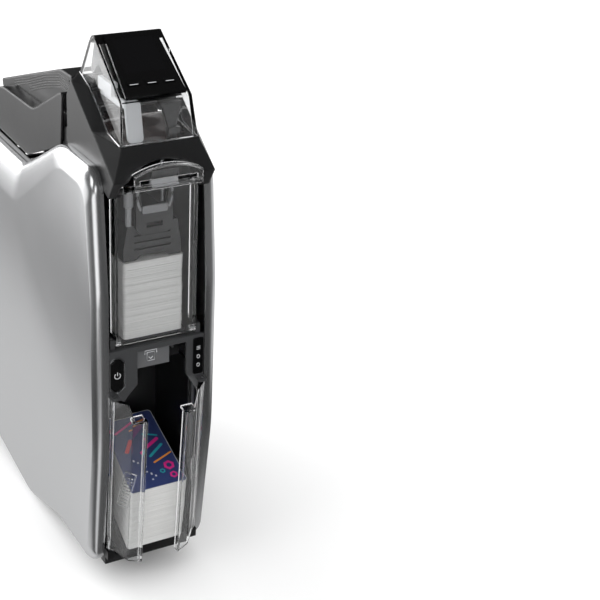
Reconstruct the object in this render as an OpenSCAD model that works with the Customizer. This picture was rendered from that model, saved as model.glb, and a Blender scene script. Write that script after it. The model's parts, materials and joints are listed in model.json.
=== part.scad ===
// Desktop card printer: a slim upright case with a loaded card hopper behind a clear door,
// a clear two-leaf output bay below it, and the ribbon and display housing on top.
// X runs across the width, the front faces -Y, and Z = 0 is the table.

/* [Cards] */
// Width of one card
card_w = 54; // [52:0.5:56]
// Length of one card
card_l = 85.6; // [84:0.2:87]
// Thickness of one card
card_t = 0.762; // [0.7:0.002:0.8]
// Corner radius of a card
card_r = 3.18; // [2:0.02:4]
// Cards loaded in the input hopper
input_cards = 90; // [20:1:92]
// Cards lying in the output hopper
output_cards = 83; // [20:1:90]

/* [Case] */
// Outer half width, to the flat face of a side panel
case_half = 56; // [54:0.5:60]
// Half width between the side panels
bay_half = 43.4; // [43:0.1:44]
// Thickness of a steel frame plate
plate_t = 2.4; // [1.8:0.1:2.6]
// Wall of a side panel under its flat face
panel_wall = 2.4; // [1.6:0.1:3]
// Depth of the rear cover
rear_t = 4; // [3:0.2:6]
// Inner face of the rear cover
rear_y = 172.2; // [172:0.1:174]
// Height of the rubber feet
foot_h = 18; // [14:0.5:18]
// Radius of the rubber feet
foot_r = 8; // [5:0.5:10]
// Depth of the base pan
pan_h = 12; // [10:0.5:12]
// Wall of the base pan
pan_wall = 2.5; // [1.5:0.1:3]

/* [Input hopper] */
// Front face of the loaded stack
stack_y = -149; // [-149.5:0.1:-148]
// Level that the lowest card lies on
stack_z = 246; // [245:0.1:247]
// Thickness of the hopper floor
hopper_floor_t = 2.8; // [2:0.1:3]
// Wall of the input hopper
hopper_wall = 2.1; // [1.5:0.1:3]
// Height of the hopper's side walls above the floor
hopper_wall_h = 76; // [60:1:80]
// Side clearance of the cards
card_gap = 0.6; // [0.3:0.1:1]
// Height of the card weight
weight_h = 31; // [24:1:32]
// How far the card weight lifts
weight_lift = 25; // [10:1:25]
// Radius of the weight's guide rods
rod_r = 2.5; // [1.5:0.1:3]

/* [Input door] */
// Half width of the clear input door
door_half = 36; // [34:0.2:36.2]
// Wall of the clear doors
clear_t = 2.4; // [1.8:0.1:2.6]
// Height of the input door's pane
pane_h = 138; // [120:1:139]
// Reach of the door's lip in front of the pane
lip_reach = 20.5; // [12:0.5:22]
// Half width of the door's lip
lip_half = 29; // [24:0.5:30]
// Half width of the finger tab
tab_half = 11; // [6:0.5:14]

/* [Output bay] */
// Slope of the cards in the output hopper
output_tilt = 19; // [10:1:20]
// Forward lean of the output stack's front face
output_lean = 7.5; // [4:0.5:9]
// Front bottom edge of the output stack
output_y = -155; // [-155:0.5:-150]
// Height of that edge
output_z = 40; // [38:0.5:42]
// Distance of an output door's hinge from the middle
leaf_x = 40.4; // [40:0.1:40.6]
// Hinge line of the output doors at its foot
leaf_y = -146; // [-147:0.2:-145]
// Height of the foot of that hinge line
leaf_z = 34; // [33:0.5:36]
// Forward tilt of that hinge line
leaf_tilt = 5; // [4:0.25:6]
// Height of an output door along its hinge
leaf_h = 165; // [150:0.2:165.2]
// Drop of the door's inner part below its hinge flange
leaf_step = 16; // [8:0.5:24]

/* [Bezel] */
// Front face of the middle bezel
bezel_y = -157; // [-158:0.2:-156]
// Thickness of the bezel
bezel_t = 3; // [2:0.1:3.2]
// Lowest edge of the bezel
bezel_z = 186; // [180:1:192]
// Underside of the bezel's top ledge
ledge_z = 238.8; // [238.4:0.1:239]
// Thickness of the top ledge
ledge_t = 2.7; // [2:0.1:2.9]
// Half width of the power button
button_half = 5.5; // [4:0.1:5.6]
// Half height of the power button
button_rise = 15; // [10:0.5:15.5]
// Press of the buttons' fit in their holes
button_gap = 0.35; // [0.2:0.05:0.5]
// Width of the chrome ring round the button
ring_w = 1; // [0.6:0.1:1.1]

/* [Top] */
// Half width of the hood and the lid
top_half = 43.2; // [43:0.05:43.3]
// Wall of the hood and the lid
top_wall = 2.2; // [1.8:0.1:2.4]
// Half width of the clear window housing at its foot
window_half = 32.5; // [30:0.5:33]
// Slope of the display
display_tilt = 34.2; // [30:0.2:38]
// Length of the display panel along its slope
display_len = 63; // [56:1:63.5]
// Half width of the display panel at its lower edge
display_half = 25.5; // [22:0.5:26]
// Thickness of the display panel
display_t = 2.4; // [1.8:0.1:3]
// Half width of the screen
screen_half = 17.5; // [12:0.5:19]
// Length of the screen
screen_len = 34; // [24:1:36]
// Spacing of the three keys
key_pitch = 15; // [12:0.5:16]
// Half width of the raised cap on the lid
cap_half = 30; // [24:0.5:32]
// Thickness of the lid's raised cap at its front
cap_h = 12; // [8:0.5:14]

/* [Rollers] */
// Radius of the roller shafts
shaft_r = 2.5; // [2:0.1:3]
// Clearance of a shaft in its bore
bore_gap = 0.05; // [0.02:0.01:0.1]
// Radius of the feed roller
feed_r = 7.5; // [6:0.1:7.5]
// Radius of the entry, cleaning and exit rollers
nip_r = 6; // [5:0.1:6]
// Radius of the platen roller
platen_r = 8; // [7:0.1:8]
// Radius of the pulleys on the motor and the feed roller
pulley_r = 8; // [6:0.2:9]
// Radius of the platen's pulley
platen_pulley_r = 10; // [8:0.2:11]
// Width of the drive belt
belt_w = 5; // [3:0.5:5]
// Radius of the drive motor
motor_r = 18; // [14:0.5:19]

/* [Ribbon] */
// Radius of the ribbon's supply roll
supply_r = 14; // [9:0.5:15]
// Radius of the ribbon's take-up roll
takeup_r = 11; // [8:0.5:12]
// Radius of the spools' journals
journal_r = 3; // [2:0.1:4]

/* [Rear] */
// Side of the square cooling fan
fan_size = 60; // [50:1:62]
// Depth of the fan
fan_t = 14; // [10:0.5:16]
// Height of the fan's centre
fan_z = 130; // [110:1:150]
// Number of fan blades
fan_blades = 7; // [5:1:9]

/* [Hidden] */
$fn = 48;
e = 0.5;

plate_in = bay_half - plate_t;
pan_z = foot_h;
pan_top = pan_z + pan_h;
stack_h = input_cards * card_t;
out_h = output_cards * card_t;
pin_r = 1;
pin_gap = 0.05;
pin_fit = 0.02;
seat = 0.3;

// A polygon's corners [y, z, radius], each rounded with the same number of points
corner_steps = 6;
function turn(a, b) = atan2(a[0] * b[1] - a[1] * b[0], a[0] * b[0] + a[1] * b[1]);
function unit(v) = v / norm(v);
function xy(p) = [p[0], p[1]];
function corner_arc(p, q, s) =
    let (u = unit(xy(q) - xy(p)), v = unit(xy(s) - xy(q)), t = turn(u, v), r = q[2],
        back = r * abs(tan(t / 2)), start = xy(q) - u * back, side = t > 0 ? 1 : -1,
        centre = start + side * r * [-u[1], u[0]])
    [for (k = [0:corner_steps]) let (a = t * k / corner_steps, w = start - centre)
        centre + [w[0] * cos(a) - w[1] * sin(a), w[0] * sin(a) + w[1] * cos(a)]];
function rounded(c) = let (n = len(c))
    [for (i = [0:n - 1]) each corner_arc(c[(i + n - 1) % n], c[i], c[(i + 1) % n])];

// The side panel's outline at its rim, and the smaller outline of its flat face
rim = rounded([[-149, 397, 20], [-158.5, 290, 150], [-157, 150, 250], [-140, 20, 18],
    [-60, 22, 30], [17, 1.5, 40], [100, 16, 60], [rear_y, 18, 16], [rear_y, 344, 12],
    [19, 344, 30], [-75, 396, 60]]);
face = rounded([[-141, 381, 18], [-150, 290, 150], [-149, 150, 250], [-131, 30, 14],
    [-60, 31, 30], [17, 11, 40], [100, 26, 60], [rear_y - 8, 28, 16], [rear_y - 8, 308, 16],
    [22, 308, 35], [-88, 381, 40]]);
// Height of the point that the panel's flat ends fan out from
panel_mid_z = 170;
// Steps from the face to the rim: share of the way out, and depth below the face
panel_steps = [[0, 0], [0.35, 1.2], [0.8, 5.2], [1, 9.5], [1, case_half - bay_half]];

// The lines of the card path, each as a point and a slope
flip_y = 120;
flip_z = 255.3;
flip_reach = 46;
print_slope = 33;
print_reach = 130;
path_slope = (flip_z - stack_z + 2) / (flip_y - stack_y - card_l);
exit_front = [-150, 222];
exit_slope = (flip_z - exit_front[1]) / (flip_y - exit_front[0]);
function input_path(y) = stack_z - 2 + path_slope * (y - stack_y - card_l);
function exit_path(y) = exit_front[1] + exit_slope * (y - exit_front[0]);
print_way = [-cos(print_slope), sin(print_slope)];
print_up = [sin(print_slope), cos(print_slope)];
print_spot = [flip_y, flip_z] + print_reach * print_way;
running_gap = 0.3;
platen_at = print_spot - (platen_r + running_gap) * print_up;
feed_at = [-100, stack_z - running_gap - feed_r];
entry_at = [-45, input_path(-45) + card_t + nip_r];
cleaning_at = [-20, input_path(-20) + card_t + nip_r];
exit_at = [-130, exit_path(-130) - running_gap - nip_r];
motor_at = [-20, 195];
supply_at = [-118, 412];
takeup_at = [-46, 394];
lid_hinge = [166, 346];
door_hinge = [stack_y - 2.5, stack_z + 1];
flap_hinge = [-150.5, 236.2];
flap_left = -16.5;
flap_right = 13.5;
window_foot = [-153, 452];
button_at = [-36.2, 219];

// Draws a profile given in [y, z] between two places along X
module along_x(x0, x1) {
    translate([x0, 0, 0])
        rotate([90, 0, 90])
            linear_extrude(x1 - x0)
                children();
}

// Draws a profile given in [x, z] between two places along Y
module along_y(y0, y1) {
    translate([0, y1, 0])
        rotate([90, 0, 0])
            linear_extrude(y1 - y0)
                children();
}

module box(lo, hi) {
    translate(lo)
        cube(hi - lo);
}

module rod_x(at, x0, x1, r) {
    translate([x0, at[0], at[1]])
        rotate([0, 90, 0])
            cylinder(r = r, h = x1 - x0);
}

module rod_y(at, y0, y1, r) {
    translate([at[0], y1, at[1]])
        rotate([90, 0, 0])
            cylinder(r = r, h = y1 - y0);
}

module both_sides() {
    children();
    mirror([1, 0, 0])
        children();
}

module round_rect(w, h, r) {
    square([w - 2 * r, h], center = true);
    square([w, h - 2 * r], center = true);
    for (x = [-1, 1], y = [-1, 1])
        translate([x * (w / 2 - r), y * (h / 2 - r)])
            circle(r);
}

module base_pan() {
    front = -138;
    color("#26282b")
        difference() {
            box([-plate_in, front, pan_z], [plate_in, rear_y, pan_top]);
            box([-plate_in + pan_wall, front + pan_wall, pan_z + pan_wall],
                [plate_in - pan_wall, rear_y - pan_wall, pan_top + e]);
        }
}

foot_x = 28;
foot_front = -92;
foot_back = 145;

module rubber_feet() {
    color("#15161a")
        for (x = [-foot_x, foot_x], y = [foot_front, foot_back])
            translate([x, y, 0])
                cylinder(r1 = foot_r - 1, r2 = foot_r, h = foot_h);
}

module plate_outline() {
    polygon([[-124, pan_z + 8], [-136, 50], [-140, 80], [-140, 366], [-126, 379], [-110, 384],
        [-78, 384], [-36, 366], [0, 346], [20, 340], [lid_hinge[0] - 8, 340],
        [lid_hinge[0] - 3, lid_hinge[1] + 4], [lid_hinge[0] + 3, lid_hinge[1] + 4],
        [lid_hinge[0] + 5, 340], [rear_y, 340], [rear_y, pan_z + 8]]);
}

module frame_plate() {
    difference() {
        along_x(plate_in, bay_half)
            difference() {
                plate_outline();
                translate([80, 120])
                    round_rect(90, 90, 12);
                translate([-95, 120])
                    round_rect(50, 110, 12);
                translate([70, 310])
                    round_rect(60, 26, 8);
            }
        for (at = [feed_at, entry_at, cleaning_at, exit_at, platen_at, [flip_y, flip_z]])
            rod_x(at, plate_in - e, bay_half + e, shaft_r + bore_gap);
        rod_x(motor_at, plate_in - e, bay_half + e, 6);
        rod_x(lid_hinge, plate_in - e, bay_half + e, 1.5 + pin_gap);
    }
}

module left_frame_plate() {
    color("#9ea2a6")
        mirror([1, 0, 0])
            frame_plate();
}

module right_frame_plate() {
    color("#9ea2a6")
        frame_plate();
}

// A skin lofted from the flat face out to the rim, hollow behind the face
module side_panel() {
    n = len(rim);
    rows = len(panel_steps);
    points = [for (s = panel_steps) for (i = [0:n - 1])
        let (p = face[i] * (1 - s[0]) + rim[i] * s[0]) [case_half - s[1], p[0], p[1]]];
    middles = [[case_half, 0, panel_mid_z], [bay_half, 0, panel_mid_z]];
    last = (rows - 1) * n;
    ends = [for (i = [0:n - 1])
        let (j = (i + 1) % n)
        each [[rows * n, j, i], [rows * n + 1, last + i, last + j]]];
    walls = [for (k = [0:rows - 2]) for (i = [0:n - 1])
        let (j = (i + 1) % n, near = k * n, far = near + n)
        each [[near + i, near + j, far + j], [near + i, far + j, far + i]]];
    difference() {
        polyhedron(concat(points, middles), concat(walls, ends));
        along_x(bay_half - e, case_half - panel_wall)
            polygon([[-136, 46], [-145, 150], [-145, 290], [-136, 366], [-90, 370], [18, 298],
                [rear_y - 14, 298], [rear_y - 14, 36], [20, 24], [-60, 40]]);
        along_x(bay_half - e, pulley_out + 0.8) {
            link_profile(platen_at, motor_at, platen_pulley_r + 3);
            link_profile(platen_at, feed_at, platen_pulley_r + 3);
        }
    }
}

module left_side_panel() {
    color("#c9ccd0")
        mirror([1, 0, 0])
            side_panel();
}

module right_side_panel() {
    color("#c9ccd0")
        side_panel();
}

inlet_at = [-20, 48];
switch_at = [6, 48];
usb_at = [24, 62];
lan_at = [24, 40];
screw_x = 46;
screw_r = 3;
screw_head = 1.6;
cover_half = 54;
cover_low = 22;
cover_high = 340;

module cover_screws() {
    color("#b8bbc0")
        for (x = [-screw_x, screw_x], z = [cover_low + 14, cover_high - 14])
            difference() {
                rod_y([x, z], rear_y + rear_t, rear_y + rear_t + screw_head, screw_r);
                box([x - 2, rear_y + rear_t + 0.8, z - 0.4],
                    [x + 2, rear_y + rear_t + screw_head + e, z + 0.4]);
            }
}

module rear_cover() {
    slot_rows = 9;
    color("#2b2d31")
        difference() {
            along_y(rear_y, rear_y + rear_t)
                difference() {
                    translate([0, (cover_low + cover_high) / 2])
                        round_rect(2 * cover_half, cover_high - cover_low, 10);
                    translate(inlet_at)
                        square([28.6, 22.6], center = true);
                    translate(switch_at)
                        square([10.6, 18.6], center = true);
                    translate(usb_at)
                        square([12.6, 11.6], center = true);
                    translate(lan_at)
                        square([16.6, 14.6], center = true);
                    for (k = [0:slot_rows - 1])
                        translate([0, 230 + k * 9])
                            square([56, 3.4], center = true);
                }
            for (a = [0:30:330], r = [9, 16, 23])
                rod_y([r * cos(a), fan_z + r * sin(a)], rear_y - e, rear_y + rear_t + e, 2.2);
        }
}

module input_hopper() {
    inner = card_w / 2 + card_gap;
    outer = inner + hopper_wall;
    back = stack_y + card_l + card_gap;
    floor_z = stack_z - hopper_floor_t;
    color("#1d1e21") {
        difference() {
            union() {
                box([-outer, stack_y + 2, floor_z], [outer, back + hopper_wall, stack_z]);
                box([-plate_in, -118, floor_z], [plate_in, back + hopper_wall, stack_z]);
            }
            box([-24, feed_at[0] - 9, floor_z - e], [24, feed_at[0] + 9, stack_z + e]);
        }
        both_sides()
            box([inner, -126, stack_z], [outer, back, stack_z + hopper_wall_h]);
        difference() {
            box([-outer, back, stack_z], [outer, back + hopper_wall, stack_z + hopper_wall_h]);
            box([-20, back - e, stack_z + 20], [20, back + hopper_wall + e, stack_z + 60]);
        }
    }
}

module card_outline() {
    translate([0, card_l / 2])
        round_rect(card_w, card_l, card_r);
}

module input_card_stack() {
    color("#f1f1ee")
        translate([0, stack_y, stack_z])
            linear_extrude(stack_h)
                card_outline();
}

rod_x0 = 33;
rod_y0 = -92;

module weight_guide_rods() {
    color("#b8bbc0")
        for (x = [-rod_x0, rod_x0])
            translate([x, rod_y0, stack_z])
                cylinder(r = rod_r, h = 130);
}

// The weight's foot is a W: it presses on both edges of the top card and clears its middle
module card_weight() {
    foot = stack_z + stack_h + seat;
    top = foot + weight_h;
    half = card_w / 2 - 1.5;
    front = stack_y + 3;
    arm_z = stack_z + hopper_wall_h + 6;
    color("#202124") {
        difference() {
            along_y(front, stack_y + card_l - 7)
                polygon([[-half, foot], [-half + 11, foot], [-half + 15, foot + 4],
                    [half - 15, foot + 4], [half - 11, foot], [half, foot], [half, foot + 11],
                    [half - 3.5, top], [-half + 3.5, top], [-half, foot + 11]]);
            for (k = [0:2])
                box([-16, front - e, foot + 9 + k * 6], [16, front + 1.5, foot + 10.6 + k * 6]);
        }
        both_sides()
            difference() {
                box([half - 5, rod_y0 - 7, arm_z], [rod_x0 + 4, rod_y0 + 7, arm_z + 7]);
                translate([rod_x0, rod_y0, arm_z - e])
                    cylinder(r = rod_r + 0.1, h = 8);
            }
    }
    color("#8d9094")
        along_y(front - 4, front)
            difference() {
                polygon([[-16, top + 30], [-16, top - 2], [-12, top - 8], [12, top - 8],
                    [16, top - 2], [16, top + 30], [13, top + 30], [11, top + 17],
                    [-11, top + 17], [-13, top + 30]]);
                translate([0, top])
                    square([14, 4], center = true);
            }
}

// Places its children at the foot of an output door's hinge line, Z along the line
module leaf_frame() {
    translate([-leaf_x, leaf_y, leaf_z])
        rotate([leaf_tilt, 0, 0])
            children();
}

out_dir = [cos(output_tilt), sin(output_tilt)];
out_up = [-sin(output_lean), cos(output_lean)] * out_h / cos(output_tilt - output_lean);
out_foot = [output_y, output_z];

module output_hopper() {
    inner = card_w / 2 + card_gap;
    wall_out = plate_in - 0.2;
    wall_in = wall_out - 2.2;
    back = -70;
    floor_t = 3;
    hopper_top = 205;
    color("#1b1c1f")
        difference() {
            union() {
                box([-wall_out, -146, pan_top], [wall_out, back + 2, pan_top + floor_t]);
                along_x(-inner - 3, inner + 3)
                    polygon([[-152, pan_top], out_foot + 3 * out_dir,
                        out_foot + card_l * out_dir, [back, output_z + 30], [back, pan_top]]);
                both_sides() {
                    box([wall_in, -137, pan_top], [wall_out, back + 2, hopper_top]);
                    along_x(inner, inner + 1.6)
                        polygon([[-118, pan_top], [-118, 96], [back, 122], [back, pan_top]]);
                }
                box([-wall_out, back, pan_top], [wall_out, back + 2, hopper_top]);
                both_sides()
                    intersection() {
                        leaf_frame()
                            box([-2.8, -3.2, -8], [4, 6, 5]);
                        box([-bay_half + seat, -160, pan_top], [0, -130, 60]);
                    }
            }
            both_sides()
                leaf_frame()
                    translate([0, 0, -6])
                        cylinder(r = pin_r + pin_fit, h = 20);
        }
}

module output_card_stack() {
    a = out_foot;
    b = a + card_l * out_dir;
    color("#f1f1ee")
        intersection() {
            along_x(-card_w / 2, card_w / 2)
                polygon([a, b, b + out_up, a + out_up]);
            translate([0, output_y, output_z])
                rotate([output_tilt, 0, 0])
                    multi_card();
        }
}

// The plan of a stack whose cards are each a little further forward than the one below
module multi_card() {
    lean = tan(output_tilt - output_lean);
    multmatrix([[1, 0, 0, 0], [0, 1, lean, 0], [0, 0, 1, 0], [0, 0, 0, 1]])
        translate([0, 0, -e])
            linear_extrude(out_h + 2 * e)
                card_outline();
}

module octagon(w, h, c) {
    polygon([[-w + c, -h], [w - c, -h], [w, -h + c], [w, h - c], [w - c, h], [-w + c, h],
        [-w, h - c], [-w, -h + c]]);
}

button_cut = 3.6;

module front_bezel() {
    inner_z = ledge_z - 2.3;
    edge = bay_half - 0.3;
    back = bezel_y + bezel_t;
    color("#3a3c40") {
        along_y(bezel_y, back)
            difference() {
                polygon([[-edge, ledge_z + ledge_t], [edge, ledge_z + ledge_t],
                    [edge, bezel_z], [37, bezel_z + 2], [27, bezel_z + 20],
                    [27, inner_z], [-18, inner_z], [-18, bezel_z + 20],
                    [-26.5, bezel_z + 11], [-31, bezel_z + 5], [-edge, bezel_z]]);
                translate(button_at)
                    octagon(button_half + button_gap, button_rise + button_gap, button_cut);
            }
        both_sides() {
            box([plate_in - 2.4, back, bezel_z + 20], [plate_in - 0.2, -138, 236]);
            difference() {
                box([plate_in - 4.6, bezel_y + bezel_t, ledge_z + ledge_t - e],
                    [plate_in - 0.2, -146, door_hinge[1] + 3.4]);
                rod_x(door_hinge, 30, 39.4, pin_r + pin_fit);
            }
            difference() {
                leaf_frame()
                    box([-2.6, -3.4, leaf_h + 0.6], [4, 8, leaf_h + 3.2]);
                leaf_frame()
                    translate([0, 0, leaf_h - 10])
                        cylinder(r = pin_r + pin_fit, h = 15);
            }
        }
        box([-plate_in, back - e, ledge_z], [plate_in, -147, ledge_z + ledge_t]);
        for (x = [flap_left - 2.5, flap_right + 1])
            difference() {
                box([x, back - e, 232.6], [x + 1.5, -147.6, ledge_z + e]);
                rod_x(flap_hinge, x - e, x + 2, pin_r + pin_gap);
            }
    }
}

module button_ring() {
    w = button_half + button_gap;
    h = button_rise + button_gap;
    color("#e3e5e8")
        along_y(bezel_y - 0.8, bezel_y)
            translate(button_at)
                difference() {
                    octagon(w + ring_w, h + ring_w, button_cut + ring_w / 2);
                    octagon(w, h, button_cut);
                }
}

module power_button() {
    color("#2a2b2e")
        along_y(bezel_y - 1.2, bezel_y + bezel_t - 1.3)
            translate(button_at)
                octagon(button_half, button_rise, button_cut);
}

module status_lens() {
    color("#0b0b0d")
        along_y(bezel_y - 1, bezel_y)
            translate([37.6, 221.5])
                round_rect(9.4, 34, 1.6);
}

module exit_flap() {
    color("#55585c") {
        rod_x(flap_hinge, flap_left, flap_right, 1.8);
        rod_x(flap_hinge, flap_left - 2.2, flap_right + 2.2, pin_r);
        box([flap_left, flap_hinge[0] - 1, 218], [flap_right, flap_hinge[0] + 1, flap_hinge[1]]);
    }
}

// Place of the finger tab, a little left of the centre
tab_x = -2;

// The clear front of the input hopper, with a flared lip that ends in an arch
module input_door() {
    foot = door_hinge[1] - 2;
    pane_y = stack_y - 4;
    head = foot + pane_h;
    lip_y = pane_y - clear_t - lip_reach;
    lip_r = 65.6;
    color("#cfd6da") {
        box([-door_half, pane_y - clear_t, foot], [door_half, pane_y, head]);
        both_sides() {
            box([door_half - clear_t, pane_y - e, foot + 8], [door_half, pane_y + 9, head - 6]);
            difference() {
                union() {
                    rod_x(door_hinge, 31, 35.8, 2.2);
                    box([31, pane_y - e, foot], [35.8, door_hinge[0], door_hinge[1] + 2]);
                }
                rod_x(door_hinge, 30, 37, pin_r + pin_gap);
            }
        }
        along_x(-lip_half, lip_half)
            polygon([[pane_y, head - 3], [pane_y - clear_t, head - 6], [lip_y, head + 5.5],
                [lip_y, head + 8], [pane_y, head]]);
        along_y(lip_y - 2, lip_y)
            difference() {
                intersection() {
                    translate([0, arch_top - lip_r])
                        circle(lip_r, $fn = 144);
                    translate([-lip_half, head + 4])
                        square([2 * lip_half, 24]);
                }
                translate([0, head + 10])
                    square([2 * lip_half - 9, 5], center = true);
            }
    }
    color("#8d9094")
        box([tab_x - tab_half, lip_y + 3, head + 4.5],
            [tab_x + tab_half, lip_y + 5.5, head + 18]);
}

// The plan of an output door's wall, from its hinge to the lip at its inner edge
module leaf_plan() {
    polygon([[-1.6, -1.8], [11, -14.2], [23, -18.8], [23.6, -12.8], [21.4, -12.6],
        [21, -16.2], [12.2, -12.4], [1.6, 1.8]]);
    circle(2.4);
}

module output_door() {
    low = -2;
    flange = 8.5;
    color("#cfd6da")
        leaf_frame()
            difference() {
                union() {
                    translate([0, 0, low])
                        linear_extrude(leaf_h - low)
                            leaf_plan();
                    translate([12, -15.6, leaf_h - leaf_step - 2.4])
                        cube([10.5, 9, 2.4]);
                }
                along_y(-30, 10)
                    polygon([[flange, leaf_h + e], [flange, leaf_h], [13, leaf_h - leaf_step],
                        [30, leaf_h - leaf_step], [30, leaf_h + e]]);
                along_y(-30, 10)
                    polygon([[-6, low - e], [-6, 8], [2.5, 7], [12, low + 1.5], [24, low],
                        [24, low - e]]);
                translate([0, 0, low - e])
                    cylinder(r = pin_r + pin_gap, h = leaf_h - low + 2 * e);
            }
}

module left_output_door() {
    output_door();
}

module right_output_door() {
    mirror([1, 0, 0])
        output_door();
}

module door_pins() {
    color("#b8bbc0")
        both_sides() {
            leaf_frame()
                translate([0, 0, -4])
                    cylinder(r = pin_r, h = 20);
            leaf_frame()
                translate([0, 0, leaf_h - 10])
                    cylinder(r = pin_r, h = 13);
            rod_x(door_hinge, 31.2, 39.2, pin_r);
        }
}

// One side of the hood: a flat cheek under a crease, and a facet that leans in to the window
module hood_side() {
    crease_mid = [-128, 422];
    foot = 387;
    hull() {
        for (p = [[-160, 377.5], [-170, 393], crease_mid, [-146, foot], [-128, foot]])
            box([window_half + 0.5, p[0], p[1]], [top_half, p[0] + 0.01, p[1] + 0.01]);
        for (p = [[-161, 418], [-134, 422]])
            translate([window_half + 0.5, p[0], p[1]])
                cube(0.01);
    }
    hull() {
        for (p = [crease_mid, [-128, foot], [-86, 451], [-76, 436], [-76, foot]])
            box([window_half + 0.5, p[0], p[1]], [top_half, p[0] + 0.01, p[1] + 0.01]);
        for (p = [[-134, 422], [-120, 434], [-101, 448], [-80, 455]])
            translate([window_half + 0.5, p[0], p[1]])
                cube(0.01);
    }
}

arch_top = 406;
arch_half = 33;
arch_rise = 15;

module hood() {
    arch_r = (arch_half * arch_half + arch_rise * arch_rise) / (2 * arch_rise);
    inside = top_half - top_wall;
    color("#35373b")
        difference() {
            union() {
                both_sides()
                    hood_side();
                along_x(-window_half - 1, window_half + 1)
                    polygon([[-170, 393], [-161, 418], [-158, 418], [-158, 390], [-168, 390]]);
            }
            along_x(-inside, inside)
                polygon([[-157, 370], [-157, 402], [-128, 418], [-87, 445], [-70, 445],
                    [-70, 370]]);
            intersection() {
                rod_y([0, arch_top - arch_r], -175, -150, arch_r);
                box([-36, -175, 380], [36, -150, arch_top + 2]);
            }
        }
}

// The clear housing: a steep front, a slope that carries the display, and a steep back
module window_block(t) {
    low = t > 0 ? -10 : 0;
    hull()
        both_sides() {
            for (p = [[window_half, -160, 418.3 + low], [30, -153, 451], [28.5, -99, 488],
                    [29, -91, 483], [window_half, -80, 455], [window_half, -80, 424 + low]])
                translate([p[0] - t, p[1] < -120 ? p[1] + t : p[1] - t, p[1] < -120 ? p[2] - t :
                        (p[2] > 450 ? p[2] - t : p[2])])
                    sphere(r = 0.2, $fn = 4);
        }
}

// Places its children on the display's slope: Y runs up the slope, Z stands off it
module on_slope() {
    translate([0, window_foot[0], window_foot[1]])
        rotate([display_tilt, 0, 0])
            children();
}

module hood_window() {
    color("#cfd6da")
        difference() {
            window_block(0);
            window_block(2);
            on_slope()
                box([-22, 8, -6], [22, display_len - 8, 2]);
        }
}

key_y = 13;
key_w = 10;
key_d = 3.6;
screen_y = 24;
screen_t = 0.8;

module display_panel() {
    top_in = display_half - 3.5;
    color("#0c0c0e")
        on_slope()
            difference() {
                translate([0, 0, 0.1])
                    linear_extrude(display_t)
                        polygon([[-display_half, 1], [display_half, 1], [top_in, display_len],
                            [-top_in, display_len]]);
                translate([0, screen_y + screen_len / 2, display_t + 0.1 - screen_t])
                    linear_extrude(3)
                        square([2 * screen_half + 0.2, screen_len + 0.2], center = true);
                for (k = [-1, 0, 1])
                    translate([k * key_pitch, key_y, 0])
                        linear_extrude(8)
                            square([key_w + 0.5, key_d + 0.5], center = true);
            }
}

module display_screen() {
    color("#15171b")
        on_slope()
            translate([0, screen_y + screen_len / 2, display_t + 0.1 - screen_t])
                linear_extrude(screen_t)
                    square([2 * screen_half, screen_len], center = true);
}

module display_board() {
    color("#1f5a3a")
        on_slope() {
            box([-19, 9, -5.6], [19, display_len - 9, -4]);
            for (x = [-17, 17], y = [key_y + 5.5, display_len - 11])
                translate([x, y, -4])
                    cylinder(r = 1.5, h = 4.1);
        }
}

module display_key(k) {
    color("#17181b")
        on_slope()
            translate([k * key_pitch, key_y, -3])
                linear_extrude(display_t + 3.8)
                    round_rect(key_w, key_d, 1);
}

module left_key() {
    display_key(-1);
}

module middle_key() {
    display_key(0);
}

module right_key() {
    display_key(1);
}

// The pale strap that stands behind the window's front
module window_strap() {
    lean = -12;
    color("#b9bcc0") {
        translate([-18.5, -160, 418.3])
            rotate([lean, 0, 0])
                along_y(4.3, 6.5)
                    translate([0, 17])
                        round_rect(13, 32, 3.5);
        box([-25, -149.5, 444], [-23, -106, 449.3]);
        box([-27, -132, 449], [-23, -106, 459]);
    }
}

module sensor_bracket() {
    color("#74777b") {
        along_y(-151.2, -148.6)
            polygon([[4, 446], [22, 446], [17, 424], [11, 424]]);
        box([10, -153.4, 420], [20, -148.6, 426]);
        box([11, -153.4, 409], [17, -146.6, 421]);
        box([4, -149, 440], [22, -140, 446]);
    }
}

// How much narrower a link's bar is than its round ends, to each side
link_waist = 0.6;

// A bar with round ends between two points of the YZ plane
module link_profile(p, q, r) {
    translate(p)
        circle(r);
    translate(q)
        circle(r);
    translate(p)
        rotate(atan2(q[1] - p[1], q[0] - p[0]))
            translate([0, -r + link_waist])
                square([norm(q - p), 2 * (r - link_waist)]);
}

cassette_out = plate_in - 0.4;

module ribbon_cassette() {
    cassette_in = cassette_out - 2.4;
    color("#4a4d52") {
        both_sides()
            difference() {
                along_x(cassette_in, cassette_out) {
                    link_profile(supply_at, takeup_at, 7);
                    translate([-104, 372])
                        square([14, 34]);
                }
                rod_x(supply_at, cassette_in - e, cassette_out + e, journal_r + bore_gap);
                rod_x(takeup_at, cassette_in - e, cassette_out + e, journal_r + bore_gap);
            }
        box([-cassette_in - 1, -86, 400], [cassette_in + 1, -80, 406]);
    }
}

module spool(at, r) {
    shoulder = cassette_out - 2.4 - running_gap;
    rod_x(at, -cassette_out + 0.2, cassette_out - 0.2, journal_r);
    rod_x(at, -shoulder, shoulder, 5);
    rod_x(at, -28, 28, r);
}

module supply_spool() {
    color("#c96f2b")
        spool(supply_at, supply_r);
}

module takeup_spool() {
    color("#51407a")
        spool(takeup_at, takeup_r);
}

// Places its children on the print path: Y runs forward up the path, Z stands off it
module on_print_path() {
    translate([0, flip_y, flip_z])
        rotate([180 - print_slope, 0, 0])
            mirror([0, 0, 1])
                children();
}

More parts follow.
